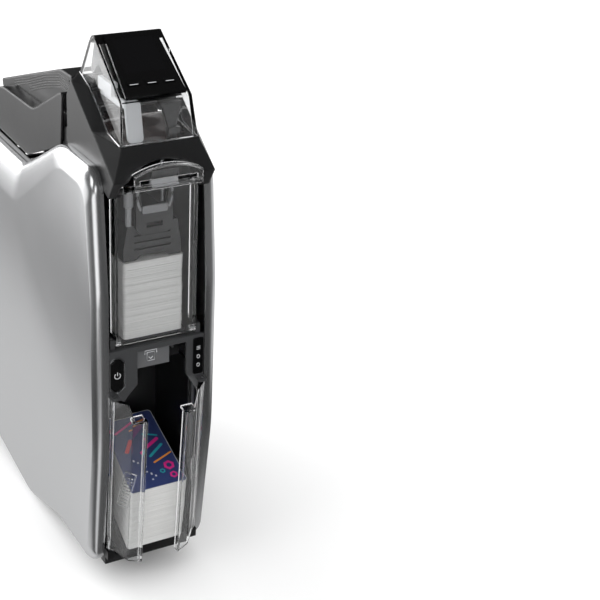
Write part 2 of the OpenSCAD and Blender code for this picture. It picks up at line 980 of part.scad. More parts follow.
module printhead() {
    color("#3f4348")
        on_print_path() {
            box([-30, print_reach - 9, 3.4], [30, print_reach + 9, 12]);
            box([-28, print_reach - 3, 1.2], [28, print_reach + 3, 3.4]);
        }
}

module printhead_bracket() {
    color("#9ea2a6")
        on_print_path()
            box([-plate_in, print_reach - 14, 12], [plate_in, print_reach + 14, 14.4]);
}

module print_guide() {
    color("#26282b")
        on_print_path()
            difference() {
                box([-plate_in, flip_reach + 4, -3.2], [plate_in, print_reach + 46, -1.2]);
                box([-30, print_reach - 11, -4], [30, print_reach + 11, 0]);
            }
}

module card_rails() {
    start = -57;
    stop = flip_y - flip_reach - 2;
    color("#26282b")
        both_sides()
            along_x(card_w / 2 - 3, plate_in)
                polygon([[start, input_path(start) - 3], [start, input_path(start) - 0.4],
                    [stop, input_path(stop) - 0.4], [stop, input_path(stop) - 3]]);
}

module exit_chute() {
    start = exit_at[0] + nip_r + 2;
    stop = flip_y - flip_reach - 4;
    color("#26282b")
        along_x(-plate_in, plate_in)
            polygon([[start, exit_path(start) - 3], [start, exit_path(start) - 1],
                [stop, exit_path(stop) - 5.5], [stop, exit_path(stop) - 7.5]]);
}

module roller(at, r, half) {
    rod_x(at, -bay_half + 0.2, bay_half - 0.2, shaft_r);
    rod_x(at, -half, half, r);
}

pulley_in = bay_half + 1;
pulley_out = pulley_in + belt_w + 1;

module entry_roller() {
    color("#101113")
        roller(entry_at, nip_r, 30);
}

module cleaning_roller() {
    color("#2f6fb0")
        roller(cleaning_at, nip_r, 30);
}

module exit_roller() {
    color("#101113")
        roller(exit_at, nip_r, 30);
}

module feed_roller() {
    color("#101113") {
        roller(feed_at, feed_r, 22);
        rod_x(feed_at, bay_half - 1, pulley_out, shaft_r);
        rod_x(feed_at, pulley_in, pulley_out, pulley_r);
    }
}

module platen_roller() {
    color("#101113") {
        roller(platen_at, platen_r, 28);
        rod_x(platen_at, bay_half - 1, pulley_out, shaft_r);
        rod_x(platen_at, pulley_in, pulley_out, platen_pulley_r);
    }
}

motor_len = 32;
motor_bore = 12;

module drive_motor() {
    color("#6d7074")
        difference() {
            rod_x(motor_at, plate_in - motor_len, plate_in, motor_r);
            rod_x(motor_at, plate_in - motor_bore, plate_in + e, shaft_r + bore_gap);
        }
}

module motor_pulley() {
    color("#b8bbc0") {
        rod_x(motor_at, plate_in - motor_bore + 0.5, pulley_out, shaft_r);
        rod_x(motor_at, pulley_in, pulley_out, pulley_r);
    }
}

module belt_loop(grow) {
    hull() {
        translate(motor_at)
            circle(pulley_r + grow);
        translate(feed_at)
            circle(pulley_r + grow);
        translate(platen_at)
            circle(platen_pulley_r + grow);
    }
}

module drive_belt() {
    color("#101113")
        along_x(pulley_in + 0.5, pulley_in + 0.5 + belt_w)
            difference() {
                belt_loop(seat + 1.4);
                belt_loop(seat);
            }
}

// Turns a whole card end for end between the three card paths
module card_flipper() {
    reach = flip_reach - 2;
    tilt = atan(path_slope);
    color("#7a7d82") {
        rod_x([flip_y, flip_z], -bay_half + 0.2, bay_half - 0.2, shaft_r);
        translate([0, flip_y, flip_z])
            rotate([tilt, 0, 0]) {
                both_sides()
                    box([30, -reach, -7], [33, reach, 7]);
                for (z = [-5, 3])
                    box([-30.5, -reach + 2, z], [30.5, reach - 2, z + 2]);
            }
    }
}

module main_board() {
    x0 = -plate_in + 4;
    color("#1f5a3a") {
        box([x0, -50, 44], [x0 + 1.6, 130, 190]);
        for (y = [-42, 122], z = [52, 196 - 14])
            rod_x([y, z], -plate_in, x0 + e, 2.5);
        for (k = [0:3])
            box([x0 + 1, -30 + k * 36, 70], [x0 + 4.5, -8 + k * 36, 96]);
        for (k = [0:2])
            rod_x([-20 + k * 30, 150], x0 + 1, x0 + 14, 6);
        box([x0 + 1, 70, 120], [x0 + 8, 120, 132]);
    }
}

module power_supply() {
    floor_z = pan_z + pan_wall;
    color("#a9adb2")
        difference() {
            box([-8, -30, floor_z], [36, 90, floor_z + 60]);
            for (k = [0:8])
                box([-9, -20 + k * 12, floor_z + 20], [-6, -15 + k * 12, floor_z + 46]);
        }
}

inlet_depth = 24;

module power_inlet() {
    half = [13.5, 10.5];
    color("#15161a") {
        difference() {
            box([inlet_at[0] - half[0] - 0.5, rear_y + rear_t - inlet_depth, inlet_at[1] - half[1]],
                [inlet_at[0] + half[0] + 0.5, rear_y + rear_t, inlet_at[1] + half[1]]);
            box([inlet_at[0] - half[0] + 1.5, rear_y + rear_t - 17, inlet_at[1] - half[1] + 2],
                [inlet_at[0] + half[0] - 1.5, rear_y + rear_t + e, inlet_at[1] + half[1] - 2]);
        }
        for (k = [-1, 0, 1])
            box([inlet_at[0] + k * 7 - 1, rear_y + rear_t - 18, inlet_at[1] - 6],
                [inlet_at[0] + k * 7 + 1, rear_y + rear_t - 5, inlet_at[1] - 2]);
    }
}

// A block about a port's centre, from its half width and half height
module port_block(at, half, front, back) {
    box([at[0] - half[0], front, at[1] - half[1]], [at[0] + half[0], back, at[1] + half[1]]);
}

module data_ports() {
    back = rear_y + rear_t;
    color("#b8bbc0")
        difference() {
            union() {
                port_block(usb_at, [6, 5.5], back - 18, back);
                port_block(lan_at, [8, 7], back - 18, back);
                box([lan_at[0] - 8, back - 22, lan_at[1] - 7],
                    [lan_at[0] + 8, back - 17, usb_at[1] + 5.5]);
            }
            port_block(usb_at, [4.6, 4.2], back - 14, back + e);
            port_block(lan_at, [6.6, 5.4], back - 14, back + e);
        }
}

switch_pivot = rear_y + rear_t - 5;

module power_switch() {
    color("#15161a") {
        box([switch_at[0] - 4.8, switch_pivot - 3, switch_at[1] - 8.4],
            [switch_at[0] + 4.8, rear_y + rear_t - 1, switch_at[1] + 8.4]);
        rod_x([switch_pivot, switch_at[1]], switch_at[0] - 5.1, switch_at[0] + 5.1, 1.5);
    }
}

fan_hub = 9;

module fan_housing() {
    front = rear_y - fan_t;
    color("#202124") {
        difference() {
            box([-fan_size / 2, front, fan_z - fan_size / 2],
                [fan_size / 2, rear_y, fan_z + fan_size / 2]);
            rod_y([0, fan_z], front - e, rear_y + e, fan_size / 2 - 2.5);
        }
        for (a = [45, 135])
            translate([0, front, fan_z])
                rotate([0, a, 0])
                    box([-fan_size / 2, 0, -1.5], [fan_size / 2, 2, 1.5]);
        rod_y([0, fan_z], front, front + 3, fan_hub);
        rod_y([0, fan_z], front + 2, rear_y - 3, 2);
    }
}

blade_pitch = 35;

module fan_rotor() {
    front = rear_y - fan_t + 3 + running_gap;
    back = rear_y - 1.5;
    color("#33353a")
        difference() {
            union() {
                rod_y([0, fan_z], front, back, fan_hub);
                for (k = [0:fan_blades - 1])
                    translate([0, 0, fan_z])
                        rotate([0, k * 360 / fan_blades, 0])
                            translate([fan_hub - 1, (front + back) / 2, 0])
                                rotate([blade_pitch, 0, 0])
                                    cube([fan_size / 2 - 5 - fan_hub, 1.2, 9]);
            }
            rod_y([0, fan_z], front - e, rear_y - 2.5, 2 + bore_gap);
        }
}

// The lid's side outline, from its front corner over the dip to the hinge at the rear
lid_outline = rounded([[-66, 436, 3], [-60, 387, 3], [21, 352, 20], [lid_hinge[0] + 6, 354, 2],
    [lid_hinge[0] + 6, 359, 4], [84, 396, 50], [4, 399, 40]]);

module top_lid() {
    inside = top_half - top_wall;
    color("#3a3c40") {
        difference() {
            along_x(-top_half, top_half)
                polygon(lid_outline);
            along_x(-inside, inside)
                polygon([[-80, 340], [-80, 440], [-66.5, 433], [4, 396], [84, 393],
                    [lid_hinge[0] + 3.6, 356.5], [lid_hinge[0] + 3.6, 340]]);
        }
        difference() {
            for (x = [-34, 20])
                along_x(x, x + 14) {
                    translate(lid_hinge)
                        circle(3.6);
                    translate([lid_hinge[0] - 3.6, lid_hinge[1]])
                        square([8, 13]);
                }
            rod_x(lid_hinge, -50, 50, 1.5 + pin_gap);
        }
    }
}

module lid_hinge_rod() {
    color("#b8bbc0")
        rod_x(lid_hinge, -bay_half, bay_half, 1.5);
}

// The raised cap stands on the lid and runs down its slope to the rear
module lid_cap() {
    color("#2f3135")
        along_x(-cap_half, cap_half)
            difference() {
                polygon(rounded([[-54, 431 + cap_h, 3], [-58, 426, 2], [4, 392, 20],
                    [80, 390, 20], [118, 384, 2], [120, 391, 3], [45, 405 + cap_h, 60],
                    [-28, 430 + cap_h, 20]]));
                polygon(lid_outline);
            }
}

base_pan();
rubber_feet();
left_frame_plate();
right_frame_plate();
left_side_panel();
right_side_panel();
rear_cover();
cover_screws();
input_hopper();
input_card_stack();
weight_guide_rods();
output_hopper();
output_card_stack();
front_bezel();
status_lens();
button_ring();
hood();
hood_window();
window_strap();
sensor_bracket();
display_panel();
display_screen();
display_board();
ribbon_cassette();
printhead();
printhead_bracket();
print_guide();
card_rails();
exit_chute();
drive_motor();
drive_belt();
main_board();
power_supply();
power_inlet();
data_ports();
fan_housing();
door_pins();
lid_hinge_rod();
top_lid();
lid_cap();
input_door();
card_weight();
left_output_door();
right_output_door();
exit_flap();
power_button();
left_key();
middle_key();
right_key();
motor_pulley();
feed_roller();
entry_roller();
cleaning_roller();
platen_roller();
exit_roller();
supply_spool();
takeup_spool();
card_flipper();
fan_rotor();
power_switch();
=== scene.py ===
"""Visual model of an upright card printer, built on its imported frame.

Every length is in metres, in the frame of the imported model: X across the width, the front
towards -Y, Z up from the table. Each assembly is a class that adds its finished pieces to the
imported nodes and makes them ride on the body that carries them.
"""
import json
import logging
import math
import random
from dataclasses import dataclass, field
from enum import Enum
from typing import Callable, Iterable, Sequence

import bmesh
import bpy
from mathutils import Matrix, Vector


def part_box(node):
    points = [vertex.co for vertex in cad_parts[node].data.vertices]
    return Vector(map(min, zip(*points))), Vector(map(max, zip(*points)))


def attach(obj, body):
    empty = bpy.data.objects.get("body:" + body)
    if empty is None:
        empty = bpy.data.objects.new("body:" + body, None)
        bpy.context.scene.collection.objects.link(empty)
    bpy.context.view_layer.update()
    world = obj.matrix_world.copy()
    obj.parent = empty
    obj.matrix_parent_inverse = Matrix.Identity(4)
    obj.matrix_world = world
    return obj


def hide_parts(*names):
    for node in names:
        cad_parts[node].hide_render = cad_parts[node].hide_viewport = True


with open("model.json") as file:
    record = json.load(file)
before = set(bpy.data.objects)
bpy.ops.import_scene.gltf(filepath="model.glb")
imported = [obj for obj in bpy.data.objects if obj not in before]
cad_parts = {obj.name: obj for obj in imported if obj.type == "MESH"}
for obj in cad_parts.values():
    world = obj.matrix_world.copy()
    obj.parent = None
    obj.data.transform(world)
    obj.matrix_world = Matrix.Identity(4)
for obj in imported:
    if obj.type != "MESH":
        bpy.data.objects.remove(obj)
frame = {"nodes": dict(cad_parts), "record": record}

log = logging.getLogger("card_printer")
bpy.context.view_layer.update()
MM = 0.001

Point2 = tuple[float, float]
Point3 = tuple[float, float, float]
Corner = tuple[float, float, float]


class Slot(Enum):
    """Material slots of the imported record."""

    SILVER = "silver_panel"
    GREY = "grey_plastic"
    SHELL = "dark_shell"
    BLACK = "black_plastic"
    GLOSS = "gloss_black"
    CLEAR = "clear_plastic"
    PALE = "pale_plastic"
    CARD = "white_card"
    STEEL = "steel"
    CHROME = "chrome_trim"
    RUBBER = "rubber"
    BOARD = "circuit_board"
    RIBBON = "ribbon_film"


class Axis(Enum):
    """The axis that a flat outline is pushed along."""

    X = 0
    Y = 1
    Z = 2


@dataclass(frozen=True)
class Finish:
    """One surface finish.

    Attributes:
        color: Base colour, linear RGB.
        roughness: Mean roughness.
        metallic: 1 for metal, 0 for plastic.
        transmission: Share of light that passes through.
        ior: Index of refraction.
        coat: Weight of a clear coat.
        specular: Level of the plain reflection.
        grain: Size of the surface grain.
        bump: Height of that grain.
        mottle: Share by which the colour and roughness wander.
        streak: Stretch of the grain along Z, 1 for none.
        edge: Radius by which sharp edges catch the light.
        island: Share by which separate loose parts differ in brightness.
    """

    color: Point3
    roughness: float
    metallic: float = 0.0
    transmission: float = 0.0
    ior: float = 1.5
    coat: float = 0.0
    specular: float = 0.5
    grain: float = 0.0006
    bump: float = 0.00002
    mottle: float = 0.08
    streak: float = 1.0
    edge: float = 0.0004
    island: float = 0.0


FINISHES: dict[str, Finish] = {
    Slot.SILVER.value: Finish((0.62, 0.625, 0.635), 0.25, metallic=0.95, grain=0.0004,
                              bump=0.000004, mottle=0.03, streak=0.04, edge=0.0),
    Slot.GREY.value: Finish((0.011, 0.0112, 0.0118), 0.32, bump=0.000012, grain=0.0005,
                            edge=0.0026, specular=0.6),
    # The shell's black is set darker than its own colour, which paints the shade of the output
    # bay onto every shell part.
    Slot.SHELL.value: Finish((0.011, 0.011, 0.012), 0.42, bump=0.00003, edge=0.0008),
    Slot.BLACK.value: Finish((0.006, 0.006, 0.0065), 0.34, bump=0.00001, edge=0.0005),
    Slot.GLOSS.value: Finish((0.0016, 0.0016, 0.0018), 0.08, coat=0.4, bump=0.0, mottle=0.03,
                             edge=0.0005),
    Slot.CLEAR.value: Finish((0.975, 0.98, 0.985), 0.03, transmission=1.0, ior=1.45, bump=0.0,
                             mottle=0.02, edge=0.0006),
    Slot.PALE.value: Finish((0.46, 0.47, 0.485), 0.38, bump=0.000008, edge=0.0008),
    # The cards' white is set grey, which paints the shade that the stacks sit in.
    Slot.CARD.value: Finish((0.67, 0.67, 0.66), 0.38, bump=0.000004, mottle=0.02, edge=0.0,
                            island=0.12),
    Slot.STEEL.value: Finish((0.46, 0.47, 0.48), 0.34, metallic=1.0, bump=0.000004,
                             grain=0.0005, streak=0.05, edge=0.0003),
    Slot.CHROME.value: Finish((0.80, 0.81, 0.83), 0.12, metallic=1.0, bump=0.0, edge=0.0003),
    Slot.RUBBER.value: Finish((0.010, 0.010, 0.011), 0.72, bump=0.00004, grain=0.0004),
    Slot.BOARD.value: Finish((0.02, 0.11, 0.06), 0.45, bump=0.00002, grain=0.001, mottle=0.2),
    # The ribbon rolls are darkened, which paints the shade inside the hood.
    Slot.RIBBON.value: Finish((0.022, 0.010, 0.009), 0.22, coat=0.4, bump=0.0, mottle=0.15),
}
FLAT = dict(bump=0.0, mottle=0.02, edge=0.0)
EXTRA: dict[str, Finish] = {
    "tab_light": Finish((0.30, 0.305, 0.315), 0.30, bump=0.000006, edge=0.0006),
    "flap_grey": Finish((0.10, 0.102, 0.106), 0.30, bump=0.000008, edge=0.0008),
    "bezel_grey": Finish((0.040, 0.041, 0.043), 0.30, bump=0.000008, edge=0.0012),
    "screen_glass": Finish((0.0022, 0.0022, 0.0026), 0.05, coat=0.4, **FLAT),
    "icon_grey": Finish((0.62, 0.63, 0.65), 0.35, **FLAT),
    "handle_grey": Finish((0.20, 0.203, 0.21), 0.30, bump=0.000006, edge=0.0006),
    "print_navy": Finish((0.035, 0.052, 0.16), 0.30, coat=0.4, **FLAT),
    "print_magenta": Finish((0.72, 0.03, 0.25), 0.30, coat=0.4, **FLAT),
    "print_teal": Finish((0.03, 0.36, 0.42), 0.30, coat=0.4, **FLAT),
    "print_orange": Finish((0.80, 0.30, 0.05), 0.30, coat=0.4, **FLAT),
    "print_red": Finish((0.62, 0.03, 0.035), 0.30, coat=0.4, **FLAT),
    "print_plum": Finish((0.16, 0.03, 0.18), 0.30, coat=0.4, **FLAT),
    "print_pale": Finish((0.60, 0.62, 0.70), 0.30, coat=0.4, **FLAT),
    # The film colours are darkened towards black, which paints the shade inside the hood.
    "film_amber": Finish((0.16, 0.07, 0.01), 0.12, coat=0.5, **FLAT),
    "film_blue": Finish((0.008, 0.02, 0.06), 0.12, coat=0.5, **FLAT),
    "film_wine": Finish((0.03, 0.006, 0.012), 0.12, coat=0.5, **FLAT),
}


NODE_FINISH: dict[str, str] = {
    "display_screen": "screen_glass", "exit_flap": "flap_grey", "front_bezel": "bezel_grey"}


class MaterialLibrary:
    """Makes each finish once, as a procedural material on Object coordinates."""

    COAT_ROUGHNESS = 0.06
    GRAIN_DETAIL = 3.0
    DRIFT_SCALE = 38.0
    DRIFT_DETAIL = 4.0
    BUMP_STRENGTH = 0.6
    EDGE_SAMPLES = 4

    def __init__(self) -> None:
        """Starts with no material made."""
        self._made: dict[str, bpy.types.Material] = {}

    def get(self, name: str) -> bpy.types.Material:
        """Returns the material of a finish, built on first use.

        Args:
            name: A key of FINISHES or EXTRA.

        Returns:
            The material, shared by all that use the finish.
        """
        if name not in self._made:
            finish = FINISHES.get(name) or EXTRA[name]
            self._made[name] = self._build(name, finish)
        return self._made[name]

    def _build(self, name: str, finish: Finish) -> bpy.types.Material:
        """Builds the shader of one finish.

        Args:
            name: Name of the finish.
            finish: Its values.

        Returns:
            The material.
        """
        material = bpy.data.materials.new("finish_" + name)
        material.use_nodes = True
        nodes = material.node_tree.nodes
        links = material.node_tree.links
        shader = nodes["Principled BSDF"]
        shader.inputs["Metallic"].default_value = finish.metallic
        shader.inputs["IOR"].default_value = finish.ior
        shader.inputs["Transmission Weight"].default_value = finish.transmission
        shader.inputs["Coat Weight"].default_value = finish.coat
        shader.inputs["Coat Roughness"].default_value = self.COAT_ROUGHNESS
        shader.inputs["Specular IOR Level"].default_value = finish.specular
        place = nodes.new("ShaderNodeTexCoord")
        stretch = nodes.new("ShaderNodeMapping")
        stretch.inputs["Scale"].default_value = (1.0, 1.0, finish.streak)
        links.new(place.outputs["Object"], stretch.inputs["Vector"])
        grain = nodes.new("ShaderNodeTexNoise")
        grain.inputs["Scale"].default_value = 1.0 / finish.grain
        grain.inputs["Detail"].default_value = self.GRAIN_DETAIL
        links.new(stretch.outputs["Vector"], grain.inputs["Vector"])
        drift = nodes.new("ShaderNodeTexNoise")
        drift.inputs["Scale"].default_value = self.DRIFT_SCALE
        drift.inputs["Detail"].default_value = self.DRIFT_DETAIL
        links.new(place.outputs["Object"], drift.inputs["Vector"])
        rough = nodes.new("ShaderNodeMapRange")
        rough.inputs["To Min"].default_value = finish.roughness * (1 - 2 * finish.mottle)
        rough.inputs["To Max"].default_value = finish.roughness * (1 + 2 * finish.mottle)
        links.new(drift.outputs["Fac"], rough.inputs["Value"])
        links.new(rough.outputs["Result"], shader.inputs["Roughness"])
        tint = nodes.new("ShaderNodeMix")
        tint.data_type = "RGBA"
        low = [c * (1 - finish.mottle) for c in finish.color]
        high = [min(1.0, c * (1 + finish.mottle)) for c in finish.color]
        tint.inputs["A"].default_value = (*low, 1.0)
        tint.inputs["B"].default_value = (*high, 1.0)
        links.new(grain.outputs["Fac"], tint.inputs["Factor"])
        colour = tint.outputs["Result"]
        if finish.island:
            colour = self._vary_islands(nodes, links, colour, finish.island)
        links.new(colour, shader.inputs["Base Color"])
        normal = None
        if finish.edge:
            soft = nodes.new("ShaderNodeBevel")
            soft.samples = self.EDGE_SAMPLES
            soft.inputs["Radius"].default_value = finish.edge
            normal = soft.outputs["Normal"]
        if finish.bump:
            relief = nodes.new("ShaderNodeBump")
            relief.inputs["Strength"].default_value = self.BUMP_STRENGTH
            relief.inputs["Distance"].default_value = finish.bump
            links.new(grain.outputs["Fac"], relief.inputs["Height"])
            if normal:
                links.new(normal, relief.inputs["Normal"])
            normal = relief.outputs["Normal"]
        if normal:
            links.new(normal, shader.inputs["Normal"])
        if finish.transmission:
            self._let_light_in(nodes, links, shader)
        return material

    @staticmethod
    def _let_light_in(nodes: bpy.types.Nodes, links: bpy.types.NodeLinks,
                      shader: bpy.types.Node) -> None:
        """Lets lamps shine through a clear part, which would otherwise shade what it covers.

        Args:
            nodes: The material's nodes.
            links: The material's links.
            shader: Its principled shader.
        """
        ray = nodes.new("ShaderNodeLightPath")
        open_air = nodes.new("ShaderNodeBsdfTransparent")
        mix = nodes.new("ShaderNodeMixShader")
        links.new(ray.outputs["Is Shadow Ray"], mix.inputs["Fac"])
        links.new(shader.outputs["BSDF"], mix.inputs[1])
        links.new(open_air.outputs["BSDF"], mix.inputs[2])
        links.new(mix.outputs["Shader"], nodes["Material Output"].inputs["Surface"])

    @staticmethod
    def _vary_islands(nodes: bpy.types.Nodes, links: bpy.types.NodeLinks,
                      colour: bpy.types.NodeSocket, share: float) -> bpy.types.NodeSocket:
        """Darkens loose parts at random, so that stacked cards show one by one.

        Args:
            nodes: The material's nodes.
            links: The material's links.
            colour: The colour before the change.
            share: Share by which the darkest part is darker.

        Returns:
            The changed colour.
        """
        geometry = nodes.new("ShaderNodeNewGeometry")
        level = nodes.new("ShaderNodeMapRange")
        level.inputs["To Min"].default_value = 1 - share
        level.inputs["To Max"].default_value = 1.0
        links.new(geometry.outputs["Random Per Island"], level.inputs["Value"])
        scale = nodes.new("ShaderNodeVectorMath")
        scale.operation = "SCALE"
        links.new(colour, scale.inputs[0])
        links.new(level.outputs["Result"], scale.inputs["Scale"])
        return scale.outputs["Vector"]


MATERIALS = MaterialLibrary()


def rounded_outline(corners: Sequence[Corner], steps: int = 8) -> list[Vector]:
    """Rounds each corner of an outline with an arc of the same number of points.

    Args:
        corners: Corners as (u, v, radius), in order.
        steps: Segments of each arc.

    Returns:
        The outline's points.
    """
    out: list[Vector] = []
    count = len(corners)
    for i, (u, v, radius) in enumerate(corners):
        here = Vector((u, v))
        before = Vector(corners[i - 1][:2])
        after = Vector(corners[(i + 1) % count][:2])
        into = (here - before).normalized()
        away = (after - here).normalized()
        angle = math.atan2(into.x * away.y - into.y * away.x, into.dot(away))
        start = here - into * radius * abs(math.tan(angle / 2))
        side = 1 if angle > 0 else -1
        centre = start + Vector((-into.y, into.x)) * side * radius
        arm = start - centre
        for k in range(steps + 1):
            out.append(centre + Matrix.Rotation(angle * k / steps, 2) @ arm)
    return out


def rounded_rect(width: float, height: float, radius: float, steps: int = 5,
                 centre: Point2 = (0.0, 0.0)) -> list[Vector]:
    """Outlines a rectangle with round corners.

    Args:
        width: Size along u.
        height: Size along v.
        radius: Radius of the corners.
        steps: Segments of each corner.
        centre: Middle of the rectangle.

    Returns:
        The outline's points.
    """
    x, y = width / 2, height / 2
    cx, cy = centre
    return rounded_outline([(cx - x, cy - y, radius), (cx + x, cy - y, radius),
                            (cx + x, cy + y, radius), (cx - x, cy + y, radius)], steps)


def lift(point: Vector, axis: Axis, along: float) -> Vector:
    """Places a flat point at a distance along an axis, with its plane's own axes in order.

    Args:
        point: The flat point.
        axis: Axis that stands on its plane.
        along: Distance along that axis.

    Returns:
        The point in space.
    """
    u, v = point
    if axis is Axis.X:
        return Vector((along, u, v))
    if axis is Axis.Y:
        return Vector((u, along, v))
    return Vector((u, v, along))


class Piece:
    """A mesh under construction that becomes one finished object."""

    def __init__(self, name: str) -> None:
        """Starts an empty mesh.

        Args:
            name: Name of the finished object.
        """
        self.name = name
        self.bm = bmesh.new()

    def loft(self, rings: Sequence[Sequence[Vector]], caps: bool = True,
             closed: bool = True) -> "Piece":
        """Joins rings of equal point count with quads.

        Args:
            rings: Rings of points, in order.
            caps: Whether the first and last ring are closed with a face.
            closed: Whether each ring is a closed loop.

        Returns:
            The piece itself.
        """
        rows = [[self.bm.verts.new(p) for p in ring] for ring in rings]
        count = len(rows[0])
        for a, b in zip(rows, rows[1:]):
            for i in range(count if closed else count - 1):
                j = (i + 1) % count
                self.bm.faces.new((a[i], a[j], b[j], b[i]))
        if caps:
            self.bm.faces.new(rows[0][::-1])
            self.bm.faces.new(rows[-1])
        return self

    def prism(self, outline: Sequence[Vector], axis: Axis, low: float, high: float,
              place: Matrix = Matrix.Identity(4)) -> "Piece":
        """Pushes a flat outline along an axis.

        Args:
            outline: The flat outline.
            axis: Axis that stands on its plane.
            low: Distance of the first face.
            high: Distance of the second face.
            place: Frame that the result is set in.

        Returns:
            The piece itself.
        """
        return self.loft([[place @ lift(p, axis, d) for p in outline] for d in (low, high)])

    def block(self, low: Point3, high: Point3, place: Matrix = Matrix.Identity(4)) -> "Piece":
        """Adds a box between two corners.

        Args:
            low: The lower corner.
            high: The upper corner.
            place: Frame that the box is set in.

        Returns:
            The piece itself.
        """
        size = [h - l for l, h in zip(low, high)]
        middle = Vector([(l + h) / 2 for l, h in zip(low, high)])
        matrix = place @ Matrix.Translation(middle) @ Matrix.Diagonal((*size, 1.0))
        bmesh.ops.create_cube(self.bm, size=1.0, matrix=matrix)
        return self

    def tube(self, path: Sequence[Vector], radius: float, sides: int = 12) -> "Piece":
        """Sweeps a round section along a path, with flat ends.

        Args:
            path: Points of the centre line.
            radius: Radius of the section.
            sides: Sides of the section.

        Returns:
            The piece itself.
        """
        rings = []
        for i, point in enumerate(path):
            ahead = path[min(i + 1, len(path) - 1)] - path[max(i - 1, 0)]
            turn = ahead.to_track_quat("Z", "X").to_matrix()
            rings.append([point + turn @ Vector((radius * math.cos(a), radius * math.sin(a), 0))
                          for a in (math.tau * k / sides for k in range(sides))])
        return self.loft(rings)

    def bevel(self, width: float, segments: int = 3, angle: float = 30.0) -> "Piece":
        """Rounds the sharp edges.

        Args:
            width: Width of the rounding.
            segments: Segments across it.
            angle: Angle in degrees over which an edge is rounded.

        Returns:
            The piece itself.
        """
        sharp = [e for e in self.bm.edges if e.is_manifold and
                 e.calc_face_angle(0.0) > math.radians(angle)]
        bmesh.ops.bevel(self.bm, geom=sharp, offset=width, offset_type="OFFSET",
                        affect="EDGES", segments=segments, profile=0.5, material=-1,
                        clamp_overlap=True)
        return self

    def finish(self, material: str, slot: Slot, body: str = "root", smooth: float = 35.0,
               replaces: Iterable[str] = ()) -> bpy.types.Object:
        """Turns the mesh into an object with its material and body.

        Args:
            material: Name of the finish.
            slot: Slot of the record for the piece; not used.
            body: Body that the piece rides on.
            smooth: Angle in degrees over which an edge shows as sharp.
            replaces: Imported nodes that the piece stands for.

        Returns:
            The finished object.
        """
        bmesh.ops.recalc_face_normals(self.bm, faces=self.bm.faces)
        mesh = bpy.data.meshes.new(self.name)
        self.bm.to_mesh(mesh)
        self.bm.free()
        mesh.polygons.foreach_set("use_smooth", [True] * len(mesh.polygons))
        mesh.set_sharp_from_angle(angle=math.radians(smooth))
        mesh.materials.append(MATERIALS.get(material))
        thing = bpy.data.objects.new(self.name, mesh)
        bpy.context.scene.collection.objects.link(thing)
        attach(thing, body)
        nodes = list(replaces)
        if nodes:
            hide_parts(*nodes)
        return thing


def scaled(corners: Sequence[tuple[float, ...]]) -> list[tuple[float, ...]]:
    """Turns corners written in millimetres into metres.

    Args:
        corners: The corners.

    Returns:
        The same corners in metres.
    """
    return [tuple(value * MM for value in corner) for corner in corners]


def side_name(side: int) -> str:
    """Names the side of a mirrored piece.

    Args:
        side: -1 for the left, 1 for the right.

    Returns:
        The side's name.
    """
    return "left" if side < 0 else "right"


@dataclass
class SidePanels:
    """The two silver side panels: a flat face, a sloped shoulder and a rounded rim.

    Attributes:
        outer_x: Outer face of the right panel.
        inner_x: Inner face of the right panel.
        rear_y: Rear edge, in millimetres.
        profile: Rows from the face to the rim: share of the way out, depth below the face.
        inner: Rows of the inside, from the rim back to the inner face.
        arc_steps: Segments of each rounded corner.
        crease: Angle in degrees over which an edge shows as sharp.
    """

    outer_x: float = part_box("right_side_panel")[1][0]
    inner_x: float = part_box("right_side_panel")[0][0]
    rear_y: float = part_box("right_side_panel")[1][1] / MM
    profile: tuple[Point2, ...] = ((0, 0), (0.02, 0.03), (0.08, 0.22), (0.22, 0.75),
                                   (0.45, 1.75), (0.66, 2.95), (0.82, 4.4), (0.92, 6.0),
                                   (0.98, 7.8), (1, 9.6), (1, 11.2), (1, 12.6))
    inner: tuple[Point2, ...] = ((0.78, 12.6), (0.78, 9), (0.55, 5.4), (0.25, 3.6), (0, 3.0))
    arc_steps: int = 14
    crease: float = 50.0

    def build(self) -> None:
        """Builds the right panel and its mirrored twin."""
        back = self.rear_y
        rim = rounded_outline(scaled([
            (-149, 397, 20), (-158.5, 290, 150), (-157, 150, 250), (-140, 20, 18),
            (-60, 22, 30), (17, 1.5, 40), (100, 16, 60), (back, 18, 16), (back, 344, 12),
            (19, 344, 30), (-75, 396, 60)]), self.arc_steps)
        face = rounded_outline(scaled([
            (-141, 381, 18), (-150, 290, 150), (-149, 150, 250), (-131, 30, 14),
            (-60, 31, 30), (17, 11, 40), (100, 26, 60), (back - 8, 28, 16),
            (back - 8, 308, 16), (22, 308, 35), (-88, 381, 40)]), self.arc_steps)
        for name, side in (("right_side_panel", 1), ("left_side_panel", -1)):
            rings = []
            for share, depth in (*self.profile, *self.inner):
                along = side * max(self.outer_x - depth * MM, self.inner_x)
                rings.append([lift(a.lerp(b, share), Axis.X, along)
                              for a, b in zip(face, rim)])
            Piece("panel_" + name).loft(rings).finish(
                Slot.SILVER.value, Slot.SILVER, smooth=self.crease, replaces=[name])


